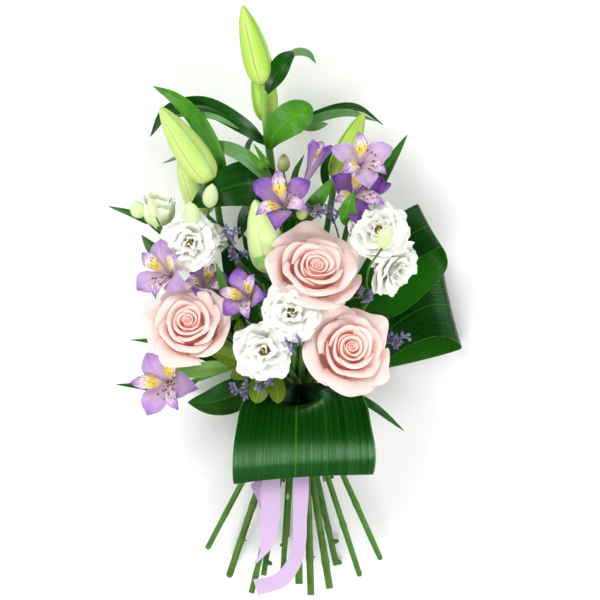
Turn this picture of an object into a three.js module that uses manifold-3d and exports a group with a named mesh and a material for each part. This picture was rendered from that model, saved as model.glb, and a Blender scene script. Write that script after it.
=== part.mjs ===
// A hand-tied mixed bouquet that lies on its back: roses, lily buds, alstroemeria, lisianthus,
// sea lavender, folded aspidistra leaves and a ribbon with two tails. Millimetres.
// +Z is up and away from the surface it lies on, +Y runs from the cut ends of the stems to the tip
// of the tallest lily bud, and +X is to the right seen from above.
import * as THREE from "three";
import { ConvexGeometry } from "three/addons/geometries/ConvexGeometry.js";
import { mergeVertices } from "three/addons/utils/BufferGeometryUtils.js";
import Module from "manifold-3d";

const wasm = await Module();
wasm.setup();

// ---- Driving dimensions ----
const TIE = [10, -96, 40]; // the middle of the tie, where all the stems come together
const TIE_LENGTH = 24; // the stems lie side by side over this length
const BAND_RADIUS = 24.6; // inside of the ribbon that binds the stems
const SLOT_X = 4; // half the spacing of the stems inside the tie, across
const SLOT_Z = 7; // the spacing of their rows, upwards
const LEVEL = 12; // the stems are laid out at levels this far apart along Y
const LEVEL_FIRST = -300;
const STEM_CLEARANCE = 1.4; // kept between two stems, on top of their radii
const LEAF_THICKNESS = 1.4; // along the midrib, thinning to the edges
const PETAL_THICKNESS = 1.2; // along the middle
const ASPIDISTRA_THICKNESS = 1.2;
const RIBBON_THICKNESS = 0.7;
const RIBBON_WIDTH = 20;
const NODE_GAP = 0.5; // kept between neighbours that press against each other

const COLOURS = {
  stem: 0x4f8a3a,
  leaf: 0x2f6b26,
  bud: 0xb9d95a,
  rose: 0xf3d3ca,
  lisianthus: 0xf7f6ee,
  alstroemeria: 0xb487cc,
  limonium: 0x7f83b8,
  olive: 0x8aa32c,
  aspidistra: 0x0f5a1c,
  ribbon: 0xe3c9f0,
};

// ---- Small helpers ----
const vec = (p) => new THREE.Vector3(...p);
const mix = (a, b, t) => a + (b - a) * t;
const clamp = THREE.MathUtils.clamp;
const spline = (points) => new THREE.CatmullRomCurve3(points.map(vec));
const radians = THREE.MathUtils.degToRad;

// A fixed sequence of numbers from 0 to 1, so that every build is the same.
function draws(seed) {
  let state = seed;
  return () => {
    state = (state * 16807) % 2147483647;
    return state / 2147483647;
  };
}

// A closed geometry as a solid. Triangles that shrank to a line are dropped, and an inside-out mesh
// is turned round.
function solid(geometry) {
  const bare = geometry.clone();
  for (const name of Object.keys(bare.attributes)) if (name !== "position") bare.deleteAttribute(name);
  const merged = mergeVertices(bare, 1e-3);
  const position = merged.attributes.position.array;
  let faces = [];
  const index = merged.index.array;
  for (let i = 0; i < index.length; i += 3) {
    const [a, b, c] = [index[i], index[i + 1], index[i + 2]];
    if (a !== b && b !== c && a !== c) faces.push(a, b, c);
  }
  let volume = 0;
  const corner = (i) => new THREE.Vector3().fromArray(position, 3 * i);
  for (let i = 0; i < faces.length; i += 3)
    volume += corner(faces[i]).dot(corner(faces[i + 1]).cross(corner(faces[i + 2])));
  if (volume < 0) faces = faces.reverse();
  return new wasm.Manifold(
    new wasm.Mesh({ numProp: 3, vertProperties: position, triVerts: new Uint32Array(faces) }),
  );
}

const union = (solids) => wasm.Manifold.union(solids);

// A solid's triangles as a geometry.
function geometryOf(made) {
  const mesh = made.getMesh();
  return new THREE.BufferGeometry()
    .setAttribute("position", new THREE.BufferAttribute(new Float32Array(mesh.vertProperties), 3))
    .setIndex(new THREE.BufferAttribute(mesh.triVerts, 1));
}

// The frame of a bloom: local +Z looks along facing, and local +Y stays as near to +Y of the bouquet
// as it can.
function frameAt(origin, facing, roll = 0) {
  const z = vec(facing).normalize();
  const x = new THREE.Vector3(0, 1, 0).cross(z).normalize();
  const y = z.clone().cross(x);
  const spin = new THREE.Matrix4().makeRotationZ(radians(roll));
  return new THREE.Matrix4().makeBasis(x, y, z).multiply(spin).setPosition(vec(origin));
}

// A blade: a thin solid about a middle surface at(u, v), with u from -1 to 1 across and v from 0 to 1
// along. It has its full thickness along the middle and thins to its two long edges, or it is even
// where its edges are cut square. Both faces are split into triangles alike, so a waved blade never
// crosses itself.
function blade(at, columns, rows, thickness, square = false) {
  const step = 0.02;
  const points = [];
  for (const side of [0.5, -0.5])
    for (let j = 0; j <= rows; j++)
      for (let i = 0; i <= columns; i++) {
        const v = j / rows;
        const pointed = at(-1, v).distanceTo(at(1, v)) < 0.05;
        const u = pointed ? 0 : mix(-1, 1, i / columns);
        const thin = pointed || (!square && (i === 0 || i === columns));
        const [inU, inV] = [clamp(u, step - 1, 1 - step), clamp(v, 2 * step, 1 - 2 * step)];
        const along = at(inU, inV + step).sub(at(inU, inV - step));
        const across = at(inU + step, inV).sub(at(inU - step, inV));
        const normal = across.cross(along).normalize();
        points.push(at(u, v).addScaledVector(normal, thin ? 0 : side * thickness));
      }
  const width = columns + 1;
  const under = width * (rows + 1);
  const faces = [];
  const quad = (a, b, c, d) => faces.push(a, b, c, a, c, d);
  for (let j = 0; j < rows; j++)
    for (let i = 0; i < columns; i++) {
      const [a, b] = [j * width + i, j * width + i + 1];
      const [c, d] = [b + width, a + width];
      quad(a, b, c, d);
      faces.push(under + a, under + c, under + b, under + a, under + d, under + c);
    }
  for (let j = 0; j < rows; j++) {
    const [left, right] = [j * width, j * width + columns];
    quad(left, left + width, under + left + width, under + left);
    quad(right, under + right, under + right + width, right + width);
  }
  for (let i = 0; i < columns; i++) {
    const [root, tip] = [i, rows * width + i];
    quad(root, under + root, under + root + 1, root + 1);
    quad(tip, tip + 1, under + tip + 1, under + tip);
  }
  return solid(new THREE.BufferGeometry().setFromPoints(points).setIndex(faces));
}

// A round bar of even thickness along a curve, with a ring at each of its points.
function bar(points, radius, sides) {
  const outline = new THREE.Shape();
  for (let k = 0; k < sides; k++) {
    const angle = (2 * Math.PI * k) / sides;
    outline[k ? "lineTo" : "moveTo"](radius * Math.cos(angle), radius * Math.sin(angle));
  }
  outline.closePath();
  const path = spline(points);
  path.getUtoTmapping = (u) => u;
  const steps = points.length - 1;
  return new THREE.ExtrudeGeometry(outline, { steps, extrudePath: path, bevelEnabled: false });
}

// A turned shape about local Z, from [radius, height] pairs that start and end on the axis.
function turned(profile, sides, lobes = 0, lobeDepth = 0) {
  const outline = profile.map(([r, h]) => new THREE.Vector2(r, h));
  const geometry = new THREE.LatheGeometry(outline, sides).rotateX(Math.PI / 2);
  const p = geometry.attributes.position;
  for (let i = 0; i < p.count; i++) {
    const swell = 1 + lobeDepth * Math.cos(lobes * Math.atan2(p.getY(i), p.getX(i)));
    p.setXY(i, p.getX(i) * swell, p.getY(i) * swell);
  }
  return geometry;
}

// ---- Leaves ----
// A leaf along a curve. face is where its upper side looks, at the root and at the tip, and fold
// lifts its edges.
function leaf({ spine, width, face = [[0, 0, 1]], fold = 0.25, widest = 0.45, rows = spine.length }) {
  const line = spline(spine);
  const power = Math.log(0.5) / Math.log(widest);
  const at = (u, v) => {
    const along = line.getTangent(clamp(v, 0.001, 0.999));
    const looks = vec(face[0]).lerp(vec(face[face.length - 1]), v);
    const side = along.clone().cross(looks).normalize();
    const up = side.clone().cross(along).normalize();
    const half = (width / 2) * Math.max(Math.sin(Math.PI * v ** power) ** 0.8, 0.1 * (1 - v));
    return line.getPoint(v).addScaledVector(side, u * half).addScaledVector(up, Math.abs(u) * half * fold);
  };
  return blade(at, 2, rows, LEAF_THICKNESS);
}

// A strip between two edge curves, such as a folded leaf or a ribbon.
// Its middle surface goes no lower than floor, where it lies flat.
function strip(left, right, { columns = 2, rows, thickness, square = false, floor = 0 }) {
  const [a, b] = [spline(left), spline(right)];
  const at = (u, v) => {
    const here = a.getPoint(v).lerp(b.getPoint(v), (u + 1) / 2);
    return here.setZ(Math.max(here.z, floor));
  };
  return blade(at, columns, rows, thickness, square);
}

// ---- Blooms, in their own frame: the root at the origin and the open face looking along +Z ----
// One petal of a bowl: it climbs a curve of [radius, height] points and wraps round the axis by half
// its angle each way.
function wrappedPetal({ curve, middle, half, swirl, droop, columns = 3, rows = 2, wave = 0, waves = 3 }) {
  const climb = new THREE.CubicBezierCurve(...curve.map(([r, h]) => new THREE.Vector2(r, h)));
  const at = (u, v) => {
    const reach = v * (1 - droop * u * u);
    const { x: radius, y: height } = climb.getPoint(reach);
    const angle = middle + half * u * clamp(2.2 * reach ** 0.6, 0.4, 1);
    const ripple = wave * reach * reach * Math.cos(waves * Math.PI * u);
    const r = radius + swirl * u * reach + ripple;
    return new THREE.Vector3(r * Math.cos(angle), r * Math.sin(angle), height + 0.5 * ripple);
  };
  return blade(at, columns, rows, PETAL_THICKNESS);
}

// Rose petals by layer, from the heart outwards: how many, the widest radius, the rim's radius and
// height, half the angle each wraps, and how far the edge flares.
const ROSE_LAYERS = [
  { petals: 3, belly: 12, rim: 8.5, height: 44, half: 68, flare: 0 },
  { petals: 3, belly: 21, rim: 18, height: 44, half: 64, flare: 0 },
  { petals: 4, belly: 31, rim: 33, height: 37, half: 50, flare: 3 },
  { petals: 5, belly: 41, rim: 49, height: 22, half: 41, flare: 6 },
];

function roseBloom(size) {
  const made = [solid(turned([[0, 0], [4, 0], [4, 12], [3, 16], [6, 30], [0, 42]], 5))];
  ROSE_LAYERS.forEach(({ petals, belly, rim, height, half, flare }, layer) => {
    const root = 11 - 3 * layer;
    for (let k = 0; k < petals; k++)
      made.push(
        wrappedPetal({
          curve: [[1.5, root], [belly * 1.02, root - 1], [belly, height + flare], [rim, height]],
          middle: 2 * Math.PI * (k / petals + 0.31 * layer),
          half: radians(half),
          swirl: 3 + layer,
          droop: 0.16,
          columns: layer ? 3 : 2,
        }),
      );
  });
  return union(made).scale([size, size, size]);
}

// A lisianthus: two rings of broad waved petals round an open throat.
function lisianthusBloom(size, opening, rings = 2) {
  const made = [solid(turned([[0, 0], [3.2, 0], [3.2, 8], [0, 22]], 4))];
  const layers = [
    { petals: 3, belly: 13, rim: mix(6, 17, opening), height: mix(32, 27, opening), half: 64 },
    { petals: 4, belly: 19, rim: mix(9, 28, opening), height: mix(30, 20, opening), half: 50 },
  ];
  layers.slice(2 - rings).forEach(({ petals, belly, rim, height, half }, layer) => {
    const root = 6 - 3.5 * layer;
    for (let k = 0; k < petals; k++)
      made.push(
        wrappedPetal({
          curve: [[1, root], [belly * 0.9, root + 1], [belly, height], [rim, height]],
          middle: 2 * Math.PI * (k / petals + 0.4 * layer),
          half: radians(half),
          swirl: 3.4,
          droop: 0.2,
          wave: opening,
        }),
      );
  });
  return union(made).scale([size, size, size]);
}

// Alstroemeria tepals: three broad outer ones and three narrow inner ones, at these turns round the axis.
const OUTER_TEPALS = [90, 210, 330];
const INNER_TEPALS = [35, 145, 270];

function tepal(turn, width, root, reach, rise, widest) {
  const climb = new THREE.CubicBezierCurve(
    new THREE.Vector2(1, root),
    new THREE.Vector2(3.5, root + rise * 0.5),
    new THREE.Vector2(reach * 0.45, root + rise),
    new THREE.Vector2(reach, root + rise * 0.92),
  );
  const power = Math.log(0.5) / Math.log(widest);
  const angle = radians(turn);
  const out = new THREE.Vector3(Math.cos(angle), Math.sin(angle), 0);
  const side = new THREE.Vector3(-Math.sin(angle), Math.cos(angle), 0);
  const at = (u, v) => {
    const { x: radius, y: height } = climb.getPoint(v);
    const half = (width / 2) * Math.max(Math.sin(Math.PI * v ** power) ** 0.9, 0.12 * (1 - v));
    const lift = 0.2 * half * u * u;
    const point = out.clone().multiplyScalar(radius - 0.5 * lift);
    return point.addScaledVector(side, u * half).setZ(height + lift);
  };
  return blade(at, 2, 3, PETAL_THICKNESS);
}

// A bar whose radius follows a list, one for each ring along it.
function beaded(points, radii, sides) {
  const rings = spline(points).getPoints(radii.length - 1);
  const geometry = bar(rings.map((p) => p.toArray()), 1, sides);
  const p = geometry.attributes.position;
  for (let i = 0; i < p.count; i++) {
    const here = new THREE.Vector3().fromBufferAttribute(p, i);
    let k = 0;
    rings.forEach((ring, j) => (k = ring.distanceTo(here) < rings[k].distanceTo(here) ? j : k));
    here.sub(rings[k]).multiplyScalar(radii[k]).add(rings[k]);
    p.setXYZ(i, here.x, here.y, here.z);
  }
  return solid(geometry);
}

// A slim stamen that ends in a thicker anther.
function stamen(turn, reach, rise) {
  const out = vec([Math.cos(radians(turn)), Math.sin(radians(turn)), 0]);
  const middle = [out.x * reach * 0.4, out.y * reach * 0.4, rise * 0.6];
  return beaded([[0, 0, 3], middle, [out.x * reach, out.y * reach, rise]], [0.7, 0.6, 1.5, 0.5], 3);
}

function alstroemeriaBloom(size, opening, stamens) {
  const reach = mix(12, 31, opening);
  const made = [solid(turned([[0, -7], [2.4, -6], [3.6, 0], [2.6, 7], [0, 9]], 5))];
  const [outerRise, innerRise] = [mix(44, 33, opening), mix(42, 34, opening)];
  for (const turn of OUTER_TEPALS) made.push(tepal(turn, 21, 0.5, reach, outerRise, 0.68));
  const inner = opening > 0.1 ? INNER_TEPALS : INNER_TEPALS.slice(0, 1); // a closing bloom shows one
  for (const turn of inner) made.push(tepal(turn, 11.5, 4.5, reach * 0.84, innerRise, 0.66));
  for (let k = 0; k < stamens; k++) made.push(stamen(270 + 40 * k, reach * 0.3, 34));
  return union(made).scale([size, size, size]);
}

// A lily bud: three broad tepals closed edge to edge, so its section has three lobes.
function lilyBud(length, diameter, sides = 12) {
  const r = diameter / 2;
  const profile = [[0, 0], [0.45, 0.03], [0.94, 0.27], [0.96, 0.52], [0.56, 0.82], [0, 1]];
  return solid(turned(profile.map(([x, h]) => [x * r, h * length]), sides, 3, 0.07));
}

// ---- The stems: where each leaves the cut end, its place in the tie, and where it arrives ----
// slot counts half spacings across and rows upwards from the middle of the tie.
const STEMS = {
  rose_centre: { radius: 3.7, foot: [43, -290, 52], slot: [1, 1], top: [20, 14, 70] },
  rose_left: { radius: 3.6, foot: [-58, -276, 48], slot: [-3, 1], top: [-90, -46, 64] },
  rose_right: { radius: 3.7, foot: [24, -296, 62], slot: [2, 2], top: [44, -60, 70] },
  lily_tall: { radius: 3.8, foot: [12, -286, 40], slot: [0, 0], top: [-15, 131, 78] },
  lily_left: { radius: 3.5, foot: [-1, -240, 5], slot: [-1, -1], top: [-66, 74, 62] },
  lily_right: { radius: 3.3, foot: [50, -269, 4], slot: [1, -1], top: [44, 96, 72] },
  alstroemeria_top: { radius: 3, foot: [-5, -287, 56], slot: [-1, 1], top: [10, 68, 84] },
  alstroemeria_right: { radius: 3, foot: [73, -276, 42], slot: [2, 0], top: [62, 78, 78] },
  alstroemeria_left: { radius: 3, foot: [-24, -278, 28], slot: [-2, 0], top: [-62, -30, 62] },
  alstroemeria_low: { radius: 3, foot: [-80, -249, 34], slot: [-4, 0], top: [-36, -62, 48] },
  lisianthus_left: { radius: 2.9, foot: [-54, -262, 3.4], slot: [-3, -1], top: [-78, 22, 62] },
  lisianthus_right: { radius: 3, foot: [94, -260, 30], slot: [4, 0], top: [84, 6, 76] },
  lisianthus_centre: { radius: 3, foot: [-36, -294, 60], slot: [0, 2], top: [-4, -60, 82] },
  limonium_right: { radius: 1.5, foot: [38, -182, 50], slot: [3, 1], top: [50, 0, 80] },
  limonium_left: { radius: 1.5, foot: [-4, -184, 14], slot: [0, -2], top: [-24, 16, 58] },
  limonium_front: { radius: 1.5, foot: [4, -176, 64], slot: [-1, 3], top: [-18, -66, 82] },
  foliage_left: { radius: 2.2, foot: [-34, -190, 12], slot: [-2, -2], top: [-36, -60, 26] },
  foliage_olive: { radius: 1.6, foot: [-16, -180, 60], slot: [-2, 2], top: [-28, -66, 70] },
  aspidistra_collar: { radius: 2, foot: [16, -150, 62], slot: [1, 3], top: [12, -80, 62] },
  aspidistra_upper: { radius: 2, foot: [46, -180, 24], slot: [3, -1], top: [52, -30, 44] },
  aspidistra_lower: { radius: 2, foot: [24, -176, 12], slot: [2, -2], top: [52, -64, 14] },
  aspidistra_back: { radius: 2, foot: [12, -186, 6], slot: [0, -3], top: [8, -60, 8] },
};

// The stems' places at every level, moved apart where they are too near, so that they lie beside each other.
function layStems() {
  const tied = (y) => Math.abs(y - TIE[1]) <= TIE_LENGTH / 2;
  const lines = Object.entries(STEMS).map(([name, { radius, foot, slot, top }]) => {
    const [tieX, tieZ] = [TIE[0] + slot[0] * SLOT_X, TIE[2] + slot[1] * SLOT_Z];
    const [below, above] = [TIE[1] - TIE_LENGTH / 2, TIE[1] + TIE_LENGTH / 2];
    const places = [];
    for (let y = LEVEL_FIRST; y <= top[1]; y += LEVEL) {
      if (y < foot[1]) continue;
      const t = y < below ? (y - foot[1]) / (below - foot[1]) : clamp((y - above) / (top[1] - above), 0, 1);
      const [from, to] = y < below ? [foot, [tieX, below, tieZ]] : [[tieX, above, tieZ], top];
      places.push({ y, x: mix(from[0], to[0], t), z: mix(from[2], to[2], t), dx: 0, dz: 0 });
    }
    return { name, radius, places };
  });
  const held = (places, k) => k === 0 || k === places.length - 1 || tied(places[k].y);
  for (let round = 0; round < 80; round++) {
    for (let a = 0; a < lines.length; a++)
      for (let b = a + 1; b < lines.length; b++)
        for (const p of lines[a].places)
          for (const q of lines[b].places) {
            if (p.y !== q.y || tied(p.y)) continue;
            const [x, z] = [p.x + p.dx - q.x - q.dx, p.z + p.dz - q.z - q.dz];
            const apart = Math.hypot(x, z);
            const short = lines[a].radius + lines[b].radius + STEM_CLEARANCE - apart;
            if (short <= 0) continue;
            p.dx += (0.5 * short * x) / apart;
            p.dz += (0.5 * short * z) / apart;
            q.dx -= (0.5 * short * x) / apart;
            q.dz -= (0.5 * short * z) / apart;
          }
    for (const { places } of lines)
      for (let k = 1; k < places.length - 1; k++) {
        const [before, here, after] = [places[k - 1], places[k], places[k + 1]];
        here.dx = held(places, k) ? 0 : here.dx + 0.2 * (before.dx + after.dx - 2 * here.dx);
        here.dz = held(places, k) ? 0 : here.dz + 0.2 * (before.dz + after.dz - 2 * here.dz);
      }
  }
  const chosen = (y) => (y <= TIE[1] ? (y - TIE[1] + 12) % 36 === 0 : (y - TIE[1] - 12) % 36 === 0);
  return Object.fromEntries(
    lines.map(({ name, places }) => {
      const { foot, top } = STEMS[name];
      const kept = places.filter(({ y }) => chosen(y) && y > foot[1] + LEVEL && y < top[1] - LEVEL);
      return [name, [foot, ...kept.map(({ x, y, z, dx, dz }) => [x + dx, y, z + dz]), top]];
    }),
  );
}
const LINES = layStems();

// ---- Assembly helpers ----
const placed = (made, frame) => made.transform(frame.elements);

// The point at a given Y on a stem's laid line.
function onStem(name, y) {
  const line = spline(LINES[name]);
  let [low, high] = [0, 1];
  for (let k = 0; k < 24; k++) {
    const middle = (low + high) / 2;
    if (line.getPoint(middle).y < y) low = middle;
    else high = middle;
  }
  return line.getPoint(low).toArray();
}

// A main stem along its laid line, and on through the points that follow it.
const mainStem = (name, onward = [], sides = 5) =>
  solid(bar([...LINES[name], ...onward], STEMS[name].radius, sides));

// A thin stalk that starts inside what carries it.
const stalk = (points, radius = 1.4) => solid(bar(points, radius, radius < 2 ? 3 : 4));

// A small closed bud with a rounded tip, from its base to its tip.
function smallBud(base, tip, diameter) {
  const axis = vec(tip).sub(vec(base));
  const length = axis.length();
  const r = diameter / 2;
  const made = solid(turned([[0, -1], [r, 0.35 * length], [0.7 * r, 0.75 * length], [0, length]], 5));
  return placed(made, frameAt(base, axis.toArray()));
}

// The swelling under a rose, with five sepals bent down round it.
function roseNeck(origin, facing) {
  const made = [solid(turned([[0, -8], [4, -7], [5.4, -2], [5, -0.5], [0, -0.5]], 6))];
  for (let k = 0; k < 5; k++) {
    const spine = [[3, 0, -2], [9, 0, -4], [16, 0, -9]];
    made.push(leaf({ spine, width: 7, widest: 0.3, rows: 2, fold: 0.1 }).rotate([0, 0, 72 * k]));
  }
  return placed(union(made), frameAt(origin, facing));
}

// The little green cup under a lisianthus.
const cup = (origin, facing) =>
  placed(solid(turned([[0, -6], [2.6, -4], [3.2, -0.5], [0, -0.5]], 5)), frameAt(origin, facing));

// A point below a bloom's root, on its axis.
const below = (origin, facing, distance) =>
  vec(origin).addScaledVector(vec(facing).normalize(), -distance).toArray();

// A thorn on a stem.
function thorn(name, y, direction) {
  const root = onStem(name, y);
  const made = solid(turned([[0, 0], [1.8, 1], [0, STEMS[name].radius + 4]], 4));
  return placed(made, frameAt(root, direction));
}

// ---- Blooms: where the root sits, where the open face looks, and the size ----
const ROSES = {
  centre: { at: [21, 20, 99], facing: [0.2, 0.42, 0.88], size: 0.98, roll: 46 },
  left: { at: [-94, -35, 85], facing: [-0.12, 0.4, 0.9], size: 0.9, roll: 50 },
  right: { at: [53, -55, 98], facing: [0.3, 0.26, 0.92], size: 0.93, roll: 125 },
};
const LISIANTHUS = {
  centre_upper: { at: [4, -12, 125], facing: [0, 0.08, 1], size: 1.02, opening: 1, roll: 15 },
  centre_lower: { at: [-21, -48, 114], facing: [-0.1, -0.1, 1], size: 1.05, opening: 1, roll: 60 },
  left_front: { at: [-96, 61, 86], facing: [0, -0.1, 1], size: 1, opening: 1, roll: 35 },
  left_side: { at: [-82, 58, 84], facing: [0.75, 0.4, 0.52], size: 0.66, opening: 0.6, roll: 0, rings: 1 },
  left_goblet: { at: [-126, 76, 78], facing: [-0.02, 0.85, 0.5], size: 1.1, opening: 0.35, roll: 20 },
  right_upper: { at: [91, 65, 102], facing: [0, 0.25, 0.97], size: 1.05, opening: 0.95, roll: 80 },
  right_lower: { at: [93, 42, 84], facing: [0.66, -0.42, 0.62], size: 1.1, opening: 0.85, roll: 0, rings: 1 },
};
const ALSTROEMERIAS = {
  top_front: { at: [0, 89, 104], facing: [-0.15, 0.36, 0.92], size: 1.12, opening: 0.95, roll: 62 },
  top_side: { at: [16, 113, 103], facing: [0.34, 0.9, 0.28], size: 1.1, opening: 0.05, roll: 30, stamens: 0 },
  right_pale: { at: [71, 132, 104], facing: [0.15, 0.28, 0.95], size: 1.06, opening: 0.9, roll: 62 },
  right_dark: { at: [65, 105, 88], facing: [0.16, 0.12, 1], size: 1.1, opening: 0.9, roll: 60, stamens: 0 },
  left_front: { at: [-111, 24, 76], facing: [-0.42, 0.15, 0.89], size: 1.12, opening: 0.85, roll: 0 },
  left_back: { at: [-84, 4, 68], facing: [0.1, 0.55, 0.8], size: 0.9, opening: 0.65, roll: 40, stamens: 0 },
  left_inner: { at: [-34, 0, 99], facing: [-0.3, 0.16, 0.93], size: 1, opening: 0.8, roll: 20 },
  low: { at: [-117, -83, 54], facing: [-0.2, 0.05, 0.98], size: 1.2, opening: 0.95, roll: 28 },
};
const LILY_BUDS = {
  tall_tip: { at: [-23, 217, 85], tip: [-44.5, 296, 92], diameter: 28 },
  tall_side: { at: [-20, 180, 68], tip: [-27, 257, 50], diameter: 26 },
  left_outer: { at: [-75, 120, 97], tip: [-127, 194, 100], diameter: 33 },
  left_inner: { at: [-81, 87, 60], tip: [-108, 156, 58], diameter: 31 },
  middle: { at: [-13, 30, 88], tip: [-32, 101, 116], diameter: 36 },
  right: { at: [47, 123, 88], tip: [77, 189, 92], diameter: 24 },
};

// ---- Nodes ----
const nodes = [];
const add = (name, made, colour, roughness) => nodes.push({ name, made, colour, roughness });
const joined = (...solids) => union(solids);

// Roses
const roseStem = (side, neck, extras = []) => {
  const { at, facing } = ROSES[side];
  const name = "rose_" + side;
  const onward = [...neck, below(at, facing, 14), below(at, facing, 3)];
  return joined(mainStem(name, onward), roseNeck(at, facing), ...extras);
};
const roseNecks = { centre: [], left: [], right: [] };
const thorns = {
  centre: [thorn("rose_centre", -197, [1, 0.3, 0.5]), thorn("rose_centre", -236, [0.5, 0.3, 1])],
  left: [thorn("rose_left", -242, [-1, 0.2, 0.6]), thorn("rose_left", -205, [0.2, 0.3, 1])],
  right: [thorn("rose_right", -259, [0.9, 0.3, 0.6]), thorn("rose_right", -214, [-0.3, 0.3, 1])],
};
for (const side of Object.keys(ROSES))
  add("rose_stem_" + side, roseStem(side, roseNecks[side], thorns[side]), COLOURS.stem, 0.55);

// Lilies: stem, stalks of the buds and leaves
const lilyLeaf = (spine, width, more = {}) => leaf({ spine, width, ...more });
add(
  "lily_stem_tall",
  joined(
    mainStem("lily_tall", [[-19, 161, 80], [-22, 190, 84], [-22.9, 216.4, 85]]),
    stalk([[-18, 158, 79], [-19.5, 170, 72], [-20, 179.4, 68]], 2),
    stalk([onStem("lily_tall", 4), [-6, 14, 66], [-10, 23, 78], [-12.8, 29.2, 87]], 2),
    lilyLeaf([[-22.4, 204, 84], [-6, 236, 95], [11, 249, 89], [29, 240, 70]], 18),
    lilyLeaf([[-20, 156, 80], [-50, 180, 92], [-100, 197, 86], [-138, 166, 52]], 18, { rows: 5 }),
    lilyLeaf([[-19, 150, 80], [-8, 174, 103], [14, 187, 108], [36, 173, 84]], 32, { widest: 0.52 }),
    lilyLeaf([[-18, 158, 79], [25, 181, 72], [66, 195, 68], [97, 180, 50]], 14, { rows: 5 }),
    lilyLeaf([[-19, 158, 79], [-33, 163, 62], [-43, 140, 44], [-48, 112, 4]], 14, {
      face: [[0, 1, 1], [-0.6, 0.6, 0.4]],
    }),
    lilyLeaf([onStem("lily_tall", 114), [-36, 138, 78], [-70, 154, 70], [-126, 138, 72]], 12, { rows: 5 }),
    lilyLeaf([onStem("lily_tall", 108), [-30, 118, 90], [-60, 113, 99], [-97, 94, 90]], 46),
    lilyLeaf([onStem("lily_tall", 90), [-26, 96, 80], [-40, 86, 76], [-49, 62, 62]], 20),
    lilyLeaf([[-13, 21, 76], [-23, 32, 71], [-35, 50, 75], [-45, 68, 84]], 16, { face: [[-0.5, 0, 1]] }),
  ),
  COLOURS.leaf,
  0.5,
);
add(
  "lily_stem_left",
  joined(
    mainStem("lily_left", [[-70, 98, 81], [-74.6, 119.4, 96]]),
    stalk([onStem("lily_left", 70), [-74, 80, 62], [-80.7, 86.4, 60]], 2),
    lilyLeaf([[-69, 94, 77], [-68, 134, 86], [-92, 182, 97], [-134, 215, 86]], 18, { rows: 5 }),
  ),
  COLOURS.leaf,
  0.5,
);
add(
  "lily_stem_right",
  joined(
    mainStem("lily_right", [[46, 110, 81], [46.8, 122.4, 87.7]]),
    lilyLeaf([[45, 103, 77], [38, 124, 79], [40, 142, 81], [51, 158, 86]], 9),
  ),
  COLOURS.leaf,
  0.5,
);

// Alstroemerias: stems with stalks, leaves and green buds
const umbel = (name, onward, stalks, others) => {
  const made = [mainStem(name, onward), ...others];
  const from = onward[onward.length - 1];
  for (const { key, via } of stalks) {
    const { at, facing, size } = ALSTROEMERIAS[key];
    made.push(stalk([from, via, below(at, facing, 7.4 * size)], 1.5));
  }
  return union(made);
};
add(
  "alstroemeria_stem_top",
  umbel(
    "alstroemeria_top",
    [[12, 79, 92]],
    [{ key: "top_front", via: [7, 84, 95] }, { key: "top_side", via: [13, 96, 97] }],
    [
      stalk([[12, 79, 92], [-2, 122, 92], [-4, 132, 98]], 1.1),
      smallBud([-4, 129, 97], [-3, 147, 106], 13),
      stalk([[12, 79, 92], [22, 84, 98], [25, 87, 107]], 1.1),
      smallBud([24, 86, 106], [34, 96, 113], 12),
      leaf({ spine: [[12, 80, 92], [8, 104, 90], [8, 126, 94], [17, 146, 100]], width: 8 }),
      leaf({ spine: [[13, 80, 93], [22, 88, 104], [33, 104, 116], [48, 124, 122]], width: 17 }),
    ],
  ),
  COLOURS.leaf,
  0.5,
);
add(
  "alstroemeria_stem_right",
  umbel(
    "alstroemeria_right",
    [[65, 85, 84]],
    [{ key: "right_pale", via: [75, 106, 86] }, { key: "right_dark", via: [63, 92, 86] }],
    [
      stalk([[65, 85, 84], [78, 96, 92], [87, 109, 98]], 1.2),
      leaf({ spine: [[65, 85, 84], [88, 112, 90], [104, 140, 97], [120, 166, 96]], width: 12 }),
      leaf({ spine: [[65, 85, 84], [60, 72, 100], [58, 82, 114], [64, 109, 122]], width: 20 }),
    ],
  ),
  COLOURS.leaf,
  0.5,
);
add(
  "alstroemeria_stem_left",
  umbel(
    "alstroemeria_left",
    [[-65, -24, 68]],
    [
      { key: "left_front", via: [-88, 4, 66] },
      { key: "left_back", via: [-74, -10, 64] },
      { key: "left_inner", via: [-46, -12, 84] },
    ],
    [
      leaf({ spine: [[-65, -25, 68], [-59, -12, 86], [-62, 9, 101], [-71, 39, 110]], width: 13 }),
    ],
  ),
  COLOURS.leaf,
  0.5,
);
add(
  "alstroemeria_stem_low",
  umbel(
    "alstroemeria_low",
    [[-60, -68, 49], [-88, -78, 47]],
    [{ key: "low", via: [-102, -82, 46] }],
    [
      leaf({ spine: [[-86, -77, 47], [-112, -92, 40], [-146, -86, 52], [-172, -84, 60]], width: 8 }),
      leaf({ spine: [[-60, -68, 49], [-84, -56, 56], [-124, -42, 68], [-157, -39, 62]], width: 8 }),
      leaf({ spine: [[-50, -66, 49], [-74, -67, 62], [-98, -71, 65], [-122, -68, 60]], width: 15 }),
    ],
  ),
  COLOURS.leaf,
  0.5,
);

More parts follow.
